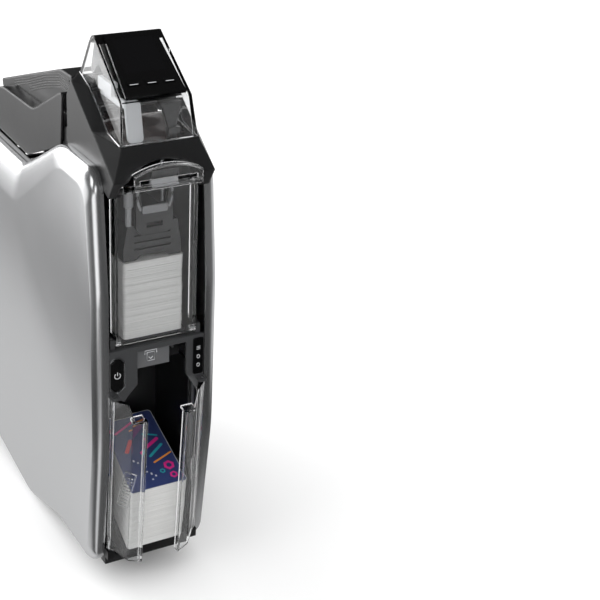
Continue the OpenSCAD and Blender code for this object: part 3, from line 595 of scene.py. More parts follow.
@dataclass
class CardStack:
    """A pile of separate cards, each shifted a little from the one below.

    Attributes:
        node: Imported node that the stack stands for.
        count: Number of cards.
        foot: Front bottom edge, as (y, z).
        tilt: Slope of the cards, in degrees.
        lean: Forward lean of the pile's front, in degrees.
        width: Width of a card.
        length: Length of a card.
        corner: Corner radius of a card.
        margin: Amount by which the drawn cards are smaller than the real ones.
        pitch: Distance from a card to the next.
        thickness: Height that a card fills of its pitch.
        bed: Height of a card's lower face in its own frame.
        thinned: Amount by which the first card of a group is thinner.
        group: Number of cards that are shifted together.
        shake: Largest shift of a single card.
        shift: Largest shift of a group.
    """

    node: str
    count: int
    foot: Point2
    tilt: float = 0.0
    lean: float = 0.0
    width: float = 0.054
    length: float = 0.0856
    corner: float = 3.18 * MM
    margin: float = 0.7 * MM
    pitch: float = 0.762 * MM
    thickness: float = 0.70 * MM
    bed: float = 0.02 * MM
    thinned: float = 0.18 * MM
    group: int = 9
    shake: float = 0.10 * MM
    shift: float = 0.26 * MM

    def place(self, index: float) -> Matrix:
        """Finds the frame of a card: X across, Y along the card, Z off its face.

        Args:
            index: Place of the card in the pile, 0 for the lowest.

        Returns:
            The frame as a matrix.
        """
        slope = math.radians(self.tilt)
        offset = math.radians(self.tilt - self.lean)
        rise = index * self.pitch
        base = Matrix.Translation((0, *self.foot)) @ Matrix.Rotation(slope, 4, "X")
        return base @ Matrix.Translation((0, rise * math.tan(offset), rise))

    def build(self) -> None:
        """Builds the pile as one object of loose cards."""
        chance = random.Random(self.node)
        piece = Piece("cards_" + self.node)
        outline = rounded_rect(self.width - self.margin, self.length - self.margin,
                               self.corner, centre=(0.0, self.length / 2))
        pack = Vector((0, 0))
        for k in range(self.count):
            if k % self.group == 0:
                pack = Vector((chance.uniform(-1, 1), chance.uniform(-1, 1))) * self.shift
            jolt = Vector((chance.uniform(-1, 1), chance.uniform(-1, 1))) * self.shake
            moved = [p + pack + jolt for p in outline]
            thick = self.thickness - (self.thinned if k % self.group == 0 else 0)
            piece.prism(moved, Axis.Z, self.bed, thick, self.place(k))
        piece.finish(Slot.CARD.value, Slot.CARD, smooth=40, replaces=[self.node])


@dataclass
class PrintedCard:
    """The print on the top card of the output stack: navy with loose bright motifs.

    Attributes:
        stack: The stack whose top card is printed.
        ink: Thickness of a layer of print.
        gap: Height of the print over the card.
        margin: Amount by which the print is smaller than the card.
        corner: Corner radius of the print.
        bars: Slanted bars, as (finish, x, y, length, width, angle).
        hexagons: Hexagons, as (x, y, radius).
        turn: Turn of the hexagons, in radians.
        ticks: Number of pale ticks.
    """

    stack: CardStack
    ink: float = 0.03 * MM
    gap: float = 0.01 * MM
    margin: float = 1.2 * MM
    corner: float = 2.9 * MM
    bars: tuple[tuple[str, float, float, float, float, float], ...] = (
        ("print_magenta", 9, 46, 26, 3.2, 28), ("print_teal", 13, 39, 20, 2.4, 34),
        ("print_orange", 16, 30, 22, 1.8, 20), ("print_plum", -2, 62, 30, 5.5, 40),
        ("print_teal", 14, 58, 16, 1.6, -24), ("print_red", -14, 52, 16, 3.4, 62),
        ("print_orange", 4, 72, 26, 1.6, 12), ("print_magenta", -12, 74, 20, 2.2, 30))
    hexagons: tuple[Point3, ...] = ((17.5, 20, 5.2), (17.5, 9, 3.8), (9.5, 15.5, 2.6))
    turn: float = 0.3
    ticks: int = 9

    def _patch(self, name: str, outline: Sequence[Vector], finish: str, level: int) -> None:
        """Lays one patch of ink on the top card.

        Args:
            name: Name of the patch.
            outline: Its outline on the card.
            finish: Its finish.
            level: Layer that it lies in, 0 for the ground.
        """
        place = self.stack.place(self.stack.count - 1) @ Matrix.Translation(
            (0, 0, self.stack.thickness + self.gap))
        low = level * self.ink
        piece = Piece("print_" + name)
        piece.prism(outline, Axis.Z, low, low + self.ink, place)
        piece.finish(finish, Slot.CARD, smooth=40)

    def _hexagon(self, x: float, y: float, radius: float) -> list[Vector]:
        """Outlines a hexagon on the card.

        Args:
            x: Middle across the card, in millimetres.
            y: Middle along the card, in millimetres.
            radius: Radius in millimetres.

        Returns:
            Its six points.
        """
        return [Vector((x * MM, y * MM)) + Vector((math.cos(a), math.sin(a))) * radius * MM
                for a in (math.tau * i / 6 + self.turn for i in range(6))]

    def build(self) -> None:
        """Lays the navy ground and its motifs on the top card."""
        w, h = self.stack.width - self.margin, self.stack.length - self.margin
        middle = (0.0, self.stack.length / 2)
        self._patch("ground", rounded_rect(w, h, self.corner, centre=middle), "print_navy", 0)
        for k, (finish, x, y, length, width, angle) in enumerate(self.bars):
            turn = Matrix.Rotation(math.radians(angle), 2)
            flat = rounded_rect(length * MM, width * MM, width * 0.4 * MM, 4)
            spot = Vector((x * MM, y * MM))
            inside = [turn @ p + spot for p in flat]
            inside = [Vector((max(-w / 2 + MM, min(w / 2 - MM, p.x)),
                              max(2 * MM, min(h - MM, p.y)))) for p in inside]
            self._patch(f"bar_{k}", inside, finish, 1 + k % 3)
        for k, (x, y, radius) in enumerate(self.hexagons):
            ring, core = self._hexagon(x, y, radius), self._hexagon(x, y, radius * 0.5)
            self._patch(f"hexagon_{k}", ring, "print_magenta" if k < 2 else "print_teal", 2)
            self._patch(f"hexagon_core_{k}", core, "print_navy", 4)
        for k in range(self.ticks):
            spot = (-7.5 + 1.9 * k % 7, 34 - 3.1 * k)
            flat = rounded_rect(1.5 * MM, (2.4 - 0.5 * (k % 3)) * MM, 0.3 * MM, 2,
                                (spot[0] * MM - 4 * MM + k * MM, spot[1] * MM))
            self._patch(f"tick_{k}", flat, "print_pale", 1)


@dataclass
class Markings:
    """Plain marks: the power sign, the card sign on the flap and the status marks.

    Attributes:
        flap_step: Depth of the flap's face behind its front edge.
        power_r: Radius of the power sign, in millimetres.
        power_gap: Half the opening of its ring, in degrees.
        power_line: Radius of its line, in millimetres.
        card_at: Middle of the card sign, as (x, z) in millimetres.
        card_line: Radius of its line, in millimetres.
        status_line: Radius of the status marks' line, in millimetres.
        status_rings: Drop of each small ring below the strip's top.
    """

    flap_step: float = 0.75 * MM
    power_r: float = 2.6
    power_gap: float = 38.0
    power_line: float = 0.3
    card_at: Point2 = (-3.4, 228.6)
    card_line: float = 0.36
    status_line: float = 0.22
    status_rings: tuple[float, float] = (17.5, 25.5)

    @staticmethod
    def _stroke(name: str, path: Sequence[Point2], y: float, radius: float,
                body: str = "root") -> None:
        """Draws one line as a thin tube.

        Args:
            name: Name of the mark.
            path: Points as (x, z), in millimetres.
            y: Depth of the line.
            radius: Radius of the line, in millimetres.
            body: Body that the mark rides on.
        """
        points = [Vector((x * MM, y, z * MM)) for x, z in path]
        Piece("mark_" + name).tube(points, radius * MM, 8).finish("icon_grey", Slot.PALE, body)

    def power_sign(self) -> None:
        """Draws the broken ring and its bar on the power button."""
        low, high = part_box("power_button")
        x, z = (low[0] + high[0]) / 2 / MM, (low[2] + high[2]) / 2 / MM
        y = low[1] + 0.05 * MM
        sweep = 360 - 2 * self.power_gap
        ring = [(x + self.power_r * math.sin(a), z + self.power_r * math.cos(a))
                for a in (math.radians(self.power_gap + sweep * k / 24) for k in range(25))]
        self._stroke("power_ring", ring, y, self.power_line, "power_key")
        self._stroke("power_bar", [(x, z + 0.2), (x, z + 3.4)], y, self.power_line, "power_key")

    def card_sign(self) -> None:
        """Draws a card with a feed arrow on the exit flap."""
        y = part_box("exit_flap")[0][1] + self.flap_step
        x, z = self.card_at
        slot = [(x - 5.4, z + 1.2), (x - 5.4, z + 4.4), (x + 5.4, z + 4.4), (x + 5.4, z + 1.2)]
        card = [(x - 3.4, z + 2.6), (x + 3.4, z + 2.6), (x + 3.4, z - 5.2), (x - 3.4, z - 5.2),
                (x - 3.4, z + 2.6)]
        arrow = [(x - 1.9, z - 1.6), (x, z - 3.6), (x + 1.9, z - 1.6)]
        for name, path in (("slot", slot), ("card", card), ("arrow", arrow)):
            self._stroke("card_" + name, path, y, self.card_line, "flap")

    def status_signs(self) -> None:
        """Draws the small marks on the status strip: three bars and two rings."""
        low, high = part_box("status_lens")
        x = (low[0] + high[0]) / 2 / MM
        y = low[1] - 0.02 * MM
        top = high[2] / MM
        for k in range(3):
            z = top - 8 - 1.3 * k
            self._stroke(f"grid_{k}", [(x - 1.6, z), (x + 1.6, z)], y, self.status_line)
        for k, drop in enumerate(self.status_rings):
            z = top - drop
            ring = [(x + 1.3 * math.cos(a), z + 1.6 * math.sin(a))
                    for a in (math.tau * i / 12 for i in range(13))]
            self._stroke(f"ring_{k}", ring, y, self.status_line)

    def build(self) -> None:
        """Builds every mark."""
        self.power_sign()
        self.card_sign()
        self.status_signs()


@dataclass
class InputDoorTrim:
    """The clear lip that closes the hood's arch, and the grey finger tab behind it.

    Attributes:
        lip_y: Front of the door.
        arch: Height of the arch's centre and its radius, in millimetres.
        half: Half the lip's width, in millimetres.
        set_back: Depth of the return behind the door's front.
        depth: Depth of the return.
        thick: Thickness of the return, in millimetres.
        tab_x: Middle of the tab, in millimetres.
        tab_width: Width of the tab, in millimetres.
        tab_back: Depth of the tab behind the door's front.
        tab_depth: Depth of the tab.
        tabs: Parts of the tab, as (name, middle height, height, finish).
    """

    lip_y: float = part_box("input_door")[0][1]
    arch: tuple[float, float] = (340.0, 65.6)
    half: float = 28.8
    set_back: float = 2.05 * MM
    depth: float = 5.2 * MM
    thick: float = 1.6
    tab_x: float = -2.0
    tab_width: float = 22.6
    tab_back: float = 4.4 * MM
    tab_depth: float = 3.6 * MM
    tabs: tuple[tuple[str, float, float, str], ...] = (
        ("face", 390.6, 6.6, "tab_light"), ("head", 397.6, 7.2, Slot.BLACK.value))

    def build(self) -> None:
        """Builds the lip's return and the tab, both riding on the door."""
        z0, radius = self.arch
        reach = math.asin(self.half / radius)
        angles = [reach * (k / 12 - 1) for k in range(25)]
        outer = [Vector((radius * math.sin(a) * MM, (z0 + radius * math.cos(a)) * MM))
                 for a in angles]
        shrunk = radius - self.thick
        inner = [Vector((shrunk * math.sin(a) * MM, (z0 + shrunk * math.cos(a)) * MM))
                 for a in reversed(angles)]
        low = self.lip_y + self.set_back
        Piece("door_lip_return").prism(outer + inner, Axis.Y, low, low + self.depth).bevel(
            0.3 * MM, 2).finish(Slot.CLEAR.value, Slot.CLEAR, "hopper_door")
        low = self.lip_y + self.tab_back
        for name, z, tall, finish in self.tabs:
            tab = rounded_rect(self.tab_width * MM, tall * MM, 0.9 * MM, 5,
                               (self.tab_x * MM, z * MM))
            Piece("door_tab_" + name).prism(tab, Axis.Y, low, low + self.tab_depth).bevel(
                0.5 * MM, 3).finish(finish, Slot.PALE, "hopper_door")


@dataclass
class WeightTrim:
    """The pale finger handle of the card weight: a wide grip between two curved horns.

    Attributes:
        horn: Centre line of a horn, as (x, z) in millimetres.
        horn_in: Amount by which the horns stand further in, in millimetres.
        grip: Width, height and middle height of the grip, in millimetres.
        post_at: Place of the round post beside the handle, as (x, depth) in millimetres.
        post: Post's heights and radii, in millimetres.
    """

    horn: tuple[Point2, ...] = ((15.6, 376.0), (16.6, 372.5), (16.4, 368.5), (15.2, 364.0),
                                (13.4, 359.6))
    horn_in: float = 1.2
    grip: Point3 = (22.0, 6.6, 359.6)
    post_at: Point2 = (-21.2, 3.6)
    post: tuple[Point2, ...] = ((346.5, 2.6), (362, 2.6), (363, 3.9), (379, 3.9))

    def build(self) -> None:
        """Builds the grip, the horns and the round post beside them."""
        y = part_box("card_weight")[0][1]
        width, height, middle = (value * MM for value in self.grip)
        grip = rounded_rect(width, height, 1.2 * MM, 5, (0.0, middle))
        Piece("weight_grip").prism(grip, Axis.Y, y - 1.0 * MM, y + 0.4 * MM).bevel(
            0.4 * MM, 3).finish("handle_grey", Slot.PALE, "weight")
        for side in (-1, 1):
            path = [Vector((side * (x - self.horn_in) * MM, y - 0.2 * MM, z * MM))
                    for x, z in self.horn]
            Piece("weight_horn_" + side_name(side)).tube(path, 1.1 * MM, 12).finish(
                "handle_grey", Slot.PALE, "weight")
        x, back = self.post_at
        rings = []
        for z, radius in self.post:
            point = Vector((x * MM, y + back * MM, z * MM))
            rings.append([point + Vector((math.cos(a), math.sin(a), 0)) * radius * MM
                          for a in (math.tau * k / 24 for k in range(24))])
        Piece("weight_post").loft(rings).bevel(0.4 * MM, 2).finish(
            "handle_grey", Slot.PALE, "weight")


@dataclass
class LidTrim:
    """Grip ridges on the sides of the lid's cap, and a black sheet in the gap below the lid that
    paints the shade there.

    Attributes:
        half: Half the cap's width.
        ridges: Number of ridges on each side.
        first: Drop of the top ridge below the crest, in millimetres.
        step: Distance from a ridge to the next, in millimetres.
        full: Last ridge that runs to the crest's end.
        ridge_r: Radius of a ridge.
        crest: Top line of the cap, as (y, z) in millimetres.
        shade_sheet: Outline of the black sheet that paints the shade in the gap, as (y, z,
            radius) in millimetres.
        shade_sheet_x: Inner and outer face of that sheet, in millimetres.
    """

    half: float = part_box("lid_cap")[1][0]
    ridges: int = 6
    first: float = 3.4
    step: float = 2.3
    full: int = 2
    ridge_r: float = 0.62 * MM
    crest: tuple[Point2, ...] = ((-49.5, 441.4), (-28, 441.2), (8, 430.3), (45, 416.3),
                                 (84, 403.0))
    # Outline and side faces of the black sheet that paints the shade in the gap below the lid.
    shade_sheet: tuple[Corner, ...] = (
        (-72, 380, 6), (-58, 380, 6), (18, 349, 16), (166, 350, 2), (166, 330, 2), (-72, 330, 2))
    shade_sheet_x: Point2 = (41.3, 42.9)

    def build(self) -> None:
        """Builds the ridges on the lid's body and, on the frame, the black sheet that paints the
        shade in the gap.
        """
        # Outline of the black sheet that paints the shade in the gap below the lid.
        edge = rounded_outline(scaled(self.shade_sheet), 6)
        for side in (-1, 1):
            for k in range(self.ridges):
                drop = self.first + self.step * k
                path = [Vector((side * self.half, y * MM, (z - drop) * MM))
                        for y, z in self.crest[:len(self.crest) - (k > self.full)]]
                Piece(f"cap_ridge_{side_name(side)}_{k}").tube(path, self.ridge_r, 8).finish(
                    Slot.GREY.value, Slot.GREY, "lid")
            # A black sheet in the gap below the lid, which paints the shade there.
            low, high = sorted(side * x * MM for x in self.shade_sheet_x)
            Piece("gap_shade_sheet_" + side_name(side)).prism(edge, Axis.X, low, high).finish(
                Slot.BLACK.value, Slot.BLACK)


@dataclass
class DoorEmboss:
    """A slanted, ribbed panel moulded into each clear output door.

    Attributes:
        side: -1 for the left door, 1 for the right.
        body: Body that the door is.
        pin: Door's hinge, as (x, y, z) in millimetres.
        lean: Lean of the hinge, in degrees.
        corner: Panel's lower corner from the hinge, in millimetres.
        wing: Run of the door's wing along x and y, in millimetres.
        slant: Slant of the panel, in degrees.
        size: Width and height of the panel, in millimetres.
        border: Width of the raised border, in millimetres.
        inset: Start and end of a rib across the panel, in millimetres.
        ribs: Number of ribs.
        first: Height of the first rib, in millimetres.
        pitch: Distance from a rib to the next, in millimetres.
        depth: Rear and front face of the panel, in millimetres.
    """

    side: int
    body: str
    pin: Point3 = (40.4, -146.0, 34.0)
    lean: float = 5.0
    corner: Point3 = (2.6, -5.6, 60.0)
    wing: Point2 = (12.4, 12.6)
    slant: float = 11.0
    size: Point2 = (10.5, 38.0)
    border: float = 0.9
    inset: Point2 = (2.0, 8.5)
    ribs: int = 9
    first: float = 4.0
    pitch: float = 3.4
    depth: Point2 = (-0.5, 0.1)

    def place(self) -> Matrix:
        """Returns the frame of the panel: X across it, Z up along it."""
        x, y, z = self.pin
        across, ahead, up = self.corner
        hinge = Matrix.Translation((self.side * x * MM, y * MM, z * MM))
        lean = Matrix.Rotation(math.radians(self.lean), 4, "X")
        wing = Matrix.Translation((-self.side * across * MM, ahead * MM, up * MM))
        turn = Matrix.Rotation(self.side * math.atan2(*self.wing), 4, "Z")
        slant = Matrix.Rotation(math.radians(-self.side * self.slant), 4, "Y")
        return hinge @ lean @ wing @ turn @ slant

    def build(self) -> None:
        """Builds a frame and its ribs on the outer face of the door's wing."""
        width, height = self.size
        rim = self.border
        bars = [(0, width, 0, rim), (0, width, height - rim, height),
                (0, rim, rim, height - rim), (width - rim, width, rim, height - rim)]
        for k in range(self.ribs):
            low = self.first + self.pitch * k
            bars.append((*self.inset, low, low + 1.0))
        place = self.place()
        back, front = self.depth
        piece = Piece("door_emboss_" + side_name(self.side))
        for x0, x1, z0, z1 in bars:
            a, b = sorted((-self.side * x0 * MM, -self.side * x1 * MM))
            piece.block((a, back * MM, z0 * MM), (b, front * MM, z1 * MM), place)
        piece.finish(Slot.CLEAR.value, Slot.CLEAR, self.body)


@dataclass
class DisplayHousing:
    """The dark housing behind the display, seen through the sides of the clear hood.

    Attributes:
        outline: Outline of the housing, as (y, z, radius) in millimetres.
        half: Half its width.
    """

    outline: tuple[Corner, ...] = (
        (-146, 445.5, 1.5), (-102, 475.5, 2), (-98, 483.5, 2), (-93, 484, 2), (-84.5, 457, 2),
        (-89, 455, 2), (-100, 466, 4), (-138, 441, 3))
    half: float = 24.2 * MM

    def build(self) -> None:
        """Builds the housing between the display board and the hood's back."""
        Piece("display_housing").prism(
            rounded_outline(scaled(self.outline), 5), Axis.X, -self.half, self.half
        ).finish(Slot.BLACK.value, Slot.BLACK)


@dataclass
class HoodTrim:
    """The dark brow over the top edge of the clear hood, and the seam along its foot.

    Attributes:
        brow: Outline of the brow, as (y, z, radius) in millimetres.
        half: Half the brow's width.
        seam: Centre line of the right seam, in millimetres.
        seam_r: Radius of the side seams.
        front_half: Half the length of the front seam, in millimetres.
        front_out: Amount by which the front seam stands out, in millimetres.
        front_r: Radius of the front seam.
    """

    brow: tuple[Corner, ...] = (
        (-105.5, 484.2, 0.4), (-99.4, 488.9, 1.6), (-94.5, 488.0, 3), (-90.2, 484.4, 0.5),
        (-90.6, 482.6, 0.4), (-95.4, 486.2, 2), (-99.2, 487.2, 1), (-105.0, 482.8, 0.4))
    half: float = 28.3 * MM
    seam: tuple[Point3, ...] = ((33.4, -159.6, 418.6), (33.4, -134.5, 422.5),
                                (33.4, -120.4, 434.4), (33.4, -101.2, 448.4),
                                (33.4, -81.0, 455.4))
    seam_r: float = 0.45 * MM
    front_half: float = 32.6
    front_out: float = 0.8
    front_r: float = 0.4 * MM

    def build(self) -> None:
        """Builds the brow and both seams."""
        Piece("hood_brow").prism(
            rounded_outline(scaled(self.brow), 5), Axis.X, -self.half, self.half
        ).finish(Slot.GLOSS.value, Slot.GLOSS)
        for side in (-1, 1):
            path = [Vector((side * x * MM, y * MM, z * MM)) for x, y, z in self.seam]
            Piece("hood_seam_" + side_name(side)).tube(path, self.seam_r, 8).finish(
                Slot.CHROME.value, Slot.CHROME)
        _, y, z = self.seam[0]
        front = [Vector((x * MM, y * MM - self.front_out * MM, z * MM))
                 for x in (-self.front_half, self.front_half)]
        Piece("hood_seam_front").tube(front, self.front_r, 8).finish(
            Slot.CHROME.value, Slot.CHROME)


@dataclass
class KeyMarks:
    """A short light dash on each of the three keys below the screen.

    Attributes:
        tilt: Slope of the keys' panel, in degrees.
        foot: Foot of that slope, as (y, z) in millimetres.
        half: Half a dash's length, in millimetres.
        drop: Distance of a dash below the key's middle, in millimetres.
        radius: Radius of a dash.
    """

    tilt: float = 34.2
    foot: Point2 = (-153.0, 452.0)
    half: float = 3.4
    drop: float = 0.9
    radius: float = 0.28 * MM

    def build(self) -> None:
        """Builds the dashes on the face of each key."""
        y, z = self.foot
        slope = Matrix.Translation((0, y * MM, z * MM)) @ Matrix.Rotation(
            math.radians(self.tilt), 4, "X")
        for node, body in (("left_key", "key_left"), ("middle_key", "key_middle"),
                           ("right_key", "key_right")):
            low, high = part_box(node)
            middle = (low + high) / 2
            local = slope.inverted() @ middle
            top = max((slope.inverted() @ v.co).z for v in frame["nodes"][node].data.vertices)
            points = [slope @ Vector((local.x + dx * MM, local.y - self.drop * MM, top))
                      for dx in (-self.half, self.half)]
            Piece("dash_" + node).tube(points, self.radius, 8).finish(
                "icon_grey", Slot.PALE, body)


@dataclass
class RibbonView:
    """The ribbon film that runs from the supply roll over the printhead to the take-up roll, in
    dark colours that paint the shade inside the hood.

    Attributes:
        supply: Middle of the supply roll, as (y, z) in millimetres.
        takeup: Middle of the take-up roll.
        supply_r: Radius of the supply roll, in millimetres.
        takeup_r: Radius of the take-up roll, in millimetres.
        gap: Distance of the film from both rolls, in millimetres.
        bend: Point where the amber stretch ends.
        dip: Point where the wine stretch ends.
        edge: Point at the printhead where the film turns back.
        half: Half the film's width.
        thick: Thickness of the film.
    """

    supply: Point2 = (-118.0, 412.0)
    takeup: Point2 = (-46.0, 394.0)
    supply_r: float = 14.0
    takeup_r: float = 11.0
    gap: float = 0.4
    bend: Point2 = (-92, 386)
    dip: Point2 = (-64, 374.5)
    edge: Point2 = (4, 336)
    half: float = 27.0 * MM
    thick: float = 0.12 * MM

    def _sheet(self, name: str, path: Sequence[Point2], finish: str) -> None:
        """Adds one stretch of film.

        Args:
            name: Name of the stretch.
            path: Its points, as (y, z) in millimetres.
            finish: Its finish.
        """
        rings = []
        for y, z in path:
            rings.append([Vector((x, y * MM, z * MM)) for x in (-self.half, self.half)])
        piece = Piece("film_" + name)
        piece.loft(rings, caps=False, closed=False)
        bmesh.ops.solidify(piece.bm, geom=piece.bm.faces[:], thickness=self.thick)
        piece.finish(finish, Slot.RIBBON)

    def build(self) -> None:
        """Builds the four stretches of the film."""
        start = (self.supply[0], self.supply[1] - self.supply_r - self.gap)
        end = (self.takeup[0], self.takeup[1] - self.takeup_r - self.gap)
        self._sheet("amber", [start, self.bend], "film_amber")
        self._sheet("wine", [self.bend, self.dip], "film_wine")
        self._sheet("blue", [self.dip, self.edge], "film_blue")
        self._sheet("back", [self.edge, end], "film_wine")


@dataclass(frozen=True)
class Lamp:
    """A soft rectangular lamp.

    Attributes:
        name: Its name.
        at: Its place.
        aim: Point that it faces.
        size: Its width and height.
        power: Its power in watts.
    """

    name: str
    at: Point3
    aim: Point3
    size: Point2
    power: float

    def build(self) -> None:
        """Adds the lamp to the scene."""
        data = bpy.data.lights.new(self.name, "AREA")
        data.shape = "RECTANGLE"
        data.size, data.size_y = self.size
        data.energy = self.power
        thing = bpy.data.objects.new(self.name, data)
        thing.location = self.at
        facing = (Vector(self.aim) - Vector(self.at)).to_track_quat("-Z", "Y")
        thing.rotation_euler = facing.to_euler()
        bpy.context.scene.collection.objects.link(thing)


@dataclass
class Stage:
    """The floor, the lights and the camera.

    Attributes:
        location: Place of the camera.
        right: Camera's axis to the right.
        up: Camera's axis upwards.
        forward: Direction that it looks in.
        lens: Focal length in millimetres.
        floor_half: Half the floor's size.
        floor_white: Grey of the floor as seen.
        corner: Point that the reflection bands turn about, with the signs changed.
        flags: Brightness of the painted reflection bands that the floor gives off in
            reflections, by the turn about that point.
        reach: Brightness of those painted reflection bands, by the distance to its side in
            metres.
        card_light: Strength of the painted reflection that the floor gives off, though it is no
            lamp.
        lamps: The lamps.
    """

    location: Point3 = (-0.4416, -1.1120, 0.7964)
    right: Point3 = (0.86674, -0.49643, 0.04832)
    up: Point3 = (0.17988, 0.40148, 0.89804)
    forward: Point3 = (0.46521, 0.76967, -0.43727)
    lens: float = 85.73
    floor_half: float = 6.0
    floor_white: float = 0.93
    corner: Point3 = (0.056, 0.15, 0.0)
    flags: tuple[Point2, ...] = ((0.0, 0.05), (0.04, 0.05), (0.08, 1.0), (0.15, 1.0),
                                 (0.21, 0.08), (0.42, 0.08), (0.48, 0.45), (0.60, 0.5),
                                 (0.70, 0.7), (0.85, 1.0), (0.90, 0.9), (0.955, 0.12),
                                 (1.0, 0.05))
    reach: tuple[Point2, ...] = ((0.0, 0.52), (0.15, 0.50), (0.25, 0.13), (0.39, 0.10),
                                 (0.50, 0.9), (0.60, 1.0), (1.0, 1.0))
    card_light: float = 1.65
    lamps: tuple[Lamp, ...] = (
        Lamp("back_box", (-0.95, 1.75, 1.0), (0, 0, 0.36), (1.5, 1.9), 34),
        Lamp("key", (-1.8, -0.4, 1.3), (0, 0, 0.3), (0.9, 1.1), 7),
        Lamp("front", (-1.0, -1.9, 0.8), (0, -0.1, 0.3), (0.7, 0.9), 4))

    def camera(self) -> None:
        """Adds the camera at the matched viewpoint."""
        data = bpy.data.cameras.new("camera")
        data.lens = self.lens
        data.sensor_width = 36.0
        data.clip_start = 0.01
        thing = bpy.data.objects.new("camera", data)
        bpy.context.scene.collection.objects.link(thing)
        axes = Matrix((self.right, self.up, [-v for v in self.forward])).transposed()
        thing.matrix_world = Matrix.Translation(self.location) @ axes.to_4x4()
        bpy.context.scene.camera = thing

    @staticmethod
    def _ramp(nodes: bpy.types.Nodes, stops: Sequence[Point2]) -> bpy.types.Node:
        """Adds a grey colour ramp.

        Args:
            nodes: The material's nodes.
            stops: Stops as (position, grey), in order.

        Returns:
            The ramp's node.
        """
        ramp = nodes.new("ShaderNodeValToRGB")
        elements = ramp.color_ramp.elements
        elements[0].position, elements[1].position = stops[0][0], stops[-1][0]
        for at, _ in stops[1:-1]:
            elements.new(at)
        for element, (_, grey) in zip(elements, stops):
            element.color = (grey, grey, grey, 1.0)
        return ramp

    def _reflection_card(self, nodes: bpy.types.Nodes,
                         links: bpy.types.NodeLinks) -> bpy.types.Node:
        """Adds the painted reflection: banded light that the floor gives off in reflections
        only, though it is no lamp.

        Args:
            nodes: The floor material's nodes.
            links: The floor material's links.

        Returns:
            The emission node.
        """
        place = nodes.new("ShaderNodeTexCoord")
        corner = nodes.new("ShaderNodeMapping")
        corner.inputs["Location"].default_value = self.corner
        links.new(place.outputs["Object"], corner.inputs["Vector"])
        around = nodes.new("ShaderNodeTexGradient")
        around.gradient_type = "RADIAL"
        links.new(corner.outputs["Vector"], around.inputs["Vector"])
        parts = nodes.new("ShaderNodeSeparateXYZ")
        links.new(corner.outputs["Vector"], parts.inputs["Vector"])
        away = nodes.new("ShaderNodeMath")
        away.operation = "ABSOLUTE"
        links.new(parts.outputs["X"], away.inputs[0])
        flags = self._ramp(nodes, self.flags)
        links.new(around.outputs["Fac"], flags.inputs["Fac"])
        reach = self._ramp(nodes, self.reach)
        links.new(away.outputs["Value"], reach.inputs["Fac"])
        dim = nodes.new("ShaderNodeVectorMath")
        dim.operation = "MULTIPLY"
        links.new(flags.outputs["Color"], dim.inputs[0])
        links.new(reach.outputs["Color"], dim.inputs[1])
        # The floor glows with these bands for reflections only: a painted reflection.
        card = nodes.new("ShaderNodeEmission")
        card.inputs["Strength"].default_value = self.card_light
        links.new(dim.outputs["Vector"], card.inputs["Color"])
        return card

    def floor(self) -> None:
        """Adds the white floor, which keeps the object's shadow."""
        mesh = bpy.data.meshes.new("floor")
        ground = bmesh.new()
        bmesh.ops.create_grid(ground, x_segments=1, y_segments=1, size=self.floor_half)
        ground.to_mesh(mesh)
        ground.free()
        thing = bpy.data.objects.new("floor", mesh)
        bpy.context.scene.collection.objects.link(thing)
        material = bpy.data.materials.new("floor_white")
        material.use_nodes = True
        nodes, links = material.node_tree.nodes, material.node_tree.links
        shader = nodes["Principled BSDF"]
        shader.inputs["Roughness"].default_value = 0.6
        shader.inputs["Specular IOR Level"].default_value = 0.1
        shader.inputs["Base Color"].default_value = (*[self.floor_white] * 3, 1.0)
        card = self._reflection_card(nodes, links)
        ray = nodes.new("ShaderNodeLightPath")
        mirrored = nodes.new("ShaderNodeMath")
        mirrored.operation = "SUBTRACT"
        mirrored.use_clamp = True
        links.new(ray.outputs["Is Glossy Ray"], mirrored.inputs[0])
        links.new(ray.outputs["Is Transmission Ray"], mirrored.inputs[1])
        # Reflections see the painted reflection bands in place of the white floor.
        pick = nodes.new("ShaderNodeMixShader")
        links.new(mirrored.outputs["Value"], pick.inputs["Fac"])
        links.new(shader.outputs["BSDF"], pick.inputs[1])
        links.new(card.outputs["Emission"], pick.inputs[2])
        links.new(pick.outputs["Shader"], nodes["Material Output"].inputs["Surface"])
        mesh.materials.append(material)

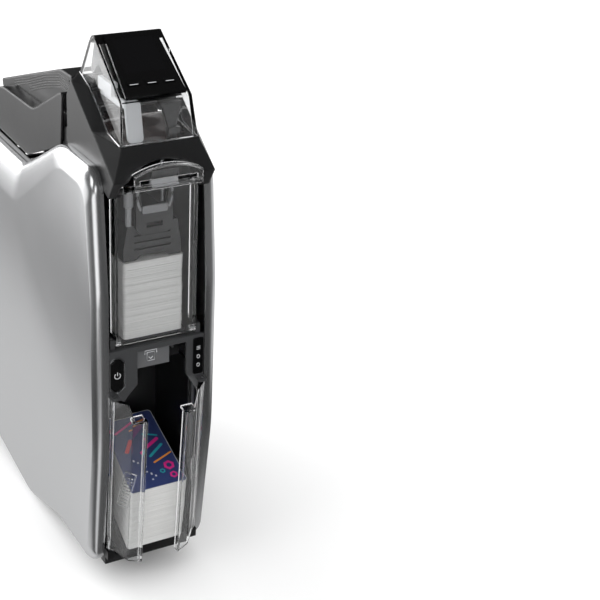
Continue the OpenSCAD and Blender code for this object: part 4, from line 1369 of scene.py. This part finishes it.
    def world(self, light: float = 1.12, gloss: float = 0.06) -> None:
        """Lights the scene evenly, with a dark room in reflections and white behind.

        Args:
            light: Strength for matt surfaces.
            gloss: Strength in reflections.
        """
        world = bpy.data.worlds.new("studio")
        bpy.context.scene.world = world
        world.use_nodes = True
        nodes, links = world.node_tree.nodes, world.node_tree.links
        back = nodes["Background"]
        back.inputs["Color"].default_value = (1.0, 1.0, 1.0, 1.0)
        ray = nodes.new("ShaderNodeLightPath")
        level = None
        for kind, strength in (("Is Glossy Ray", gloss), ("Is Transmission Ray", 1.0),
                               ("Is Camera Ray", 1.0)):
            pick = nodes.new("ShaderNodeMix")
            pick.inputs["A"].default_value = light
            pick.inputs["B"].default_value = strength
            links.new(ray.outputs[kind], pick.inputs["Factor"])
            if level:
                links.new(level, pick.inputs["A"])
            level = pick.outputs["Result"]
        links.new(level, back.inputs["Strength"])

    def build(self) -> None:
        """Builds the whole stage."""
        self.camera()
        self.floor()
        self.world()
        for lamp in self.lamps:
            lamp.build()
        bpy.context.scene.view_settings.view_transform = "Standard"


@dataclass
class CardPrinter:
    """The whole printer, as its assemblies in the order that they are built.

    Attributes:
        input_stack: Blank cards in the input hopper.
        output_stack: Leaning cards in the output hopper.
    """

    input_stack: CardStack = field(default_factory=lambda: CardStack(
        "input_card_stack", 90, (-149 * MM, 246 * MM)))
    output_stack: CardStack = field(default_factory=lambda: CardStack(
        "output_card_stack", 83, (-155 * MM, 40 * MM), tilt=19.0, lean=7.5))

    def paint_nodes(self) -> None:
        """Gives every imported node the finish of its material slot."""
        slots = {s["node"]: s["material_slot"] for s in frame["record"]["subparts"]}
        for name, thing in frame["nodes"].items():
            finish = NODE_FINISH.get(name, slots[name])
            thing.data.materials.clear()
            thing.data.materials.append(MATERIALS.get(finish))

    def build(self) -> None:
        """Builds every assembly."""
        self.paint_nodes()
        steps: list[Callable[[], None]] = [
            SidePanels().build, self.input_stack.build, self.output_stack.build,
            PrintedCard(self.output_stack).build, Markings().build, RibbonView().build,
            InputDoorTrim().build, WeightTrim().build, LidTrim().build,
            DisplayHousing().build, HoodTrim().build, KeyMarks().build,
            DoorEmboss(-1, "left_leaf").build, DoorEmboss(1, "right_leaf").build]
        for step in steps:
            step()
            log.info("built %s", step.__qualname__)


def main() -> None:
    """Builds the stage and the printer."""
    logging.basicConfig(level=logging.INFO)
    Stage().build()
    CardPrinter().build()


if __name__ == "__main__":
    main()
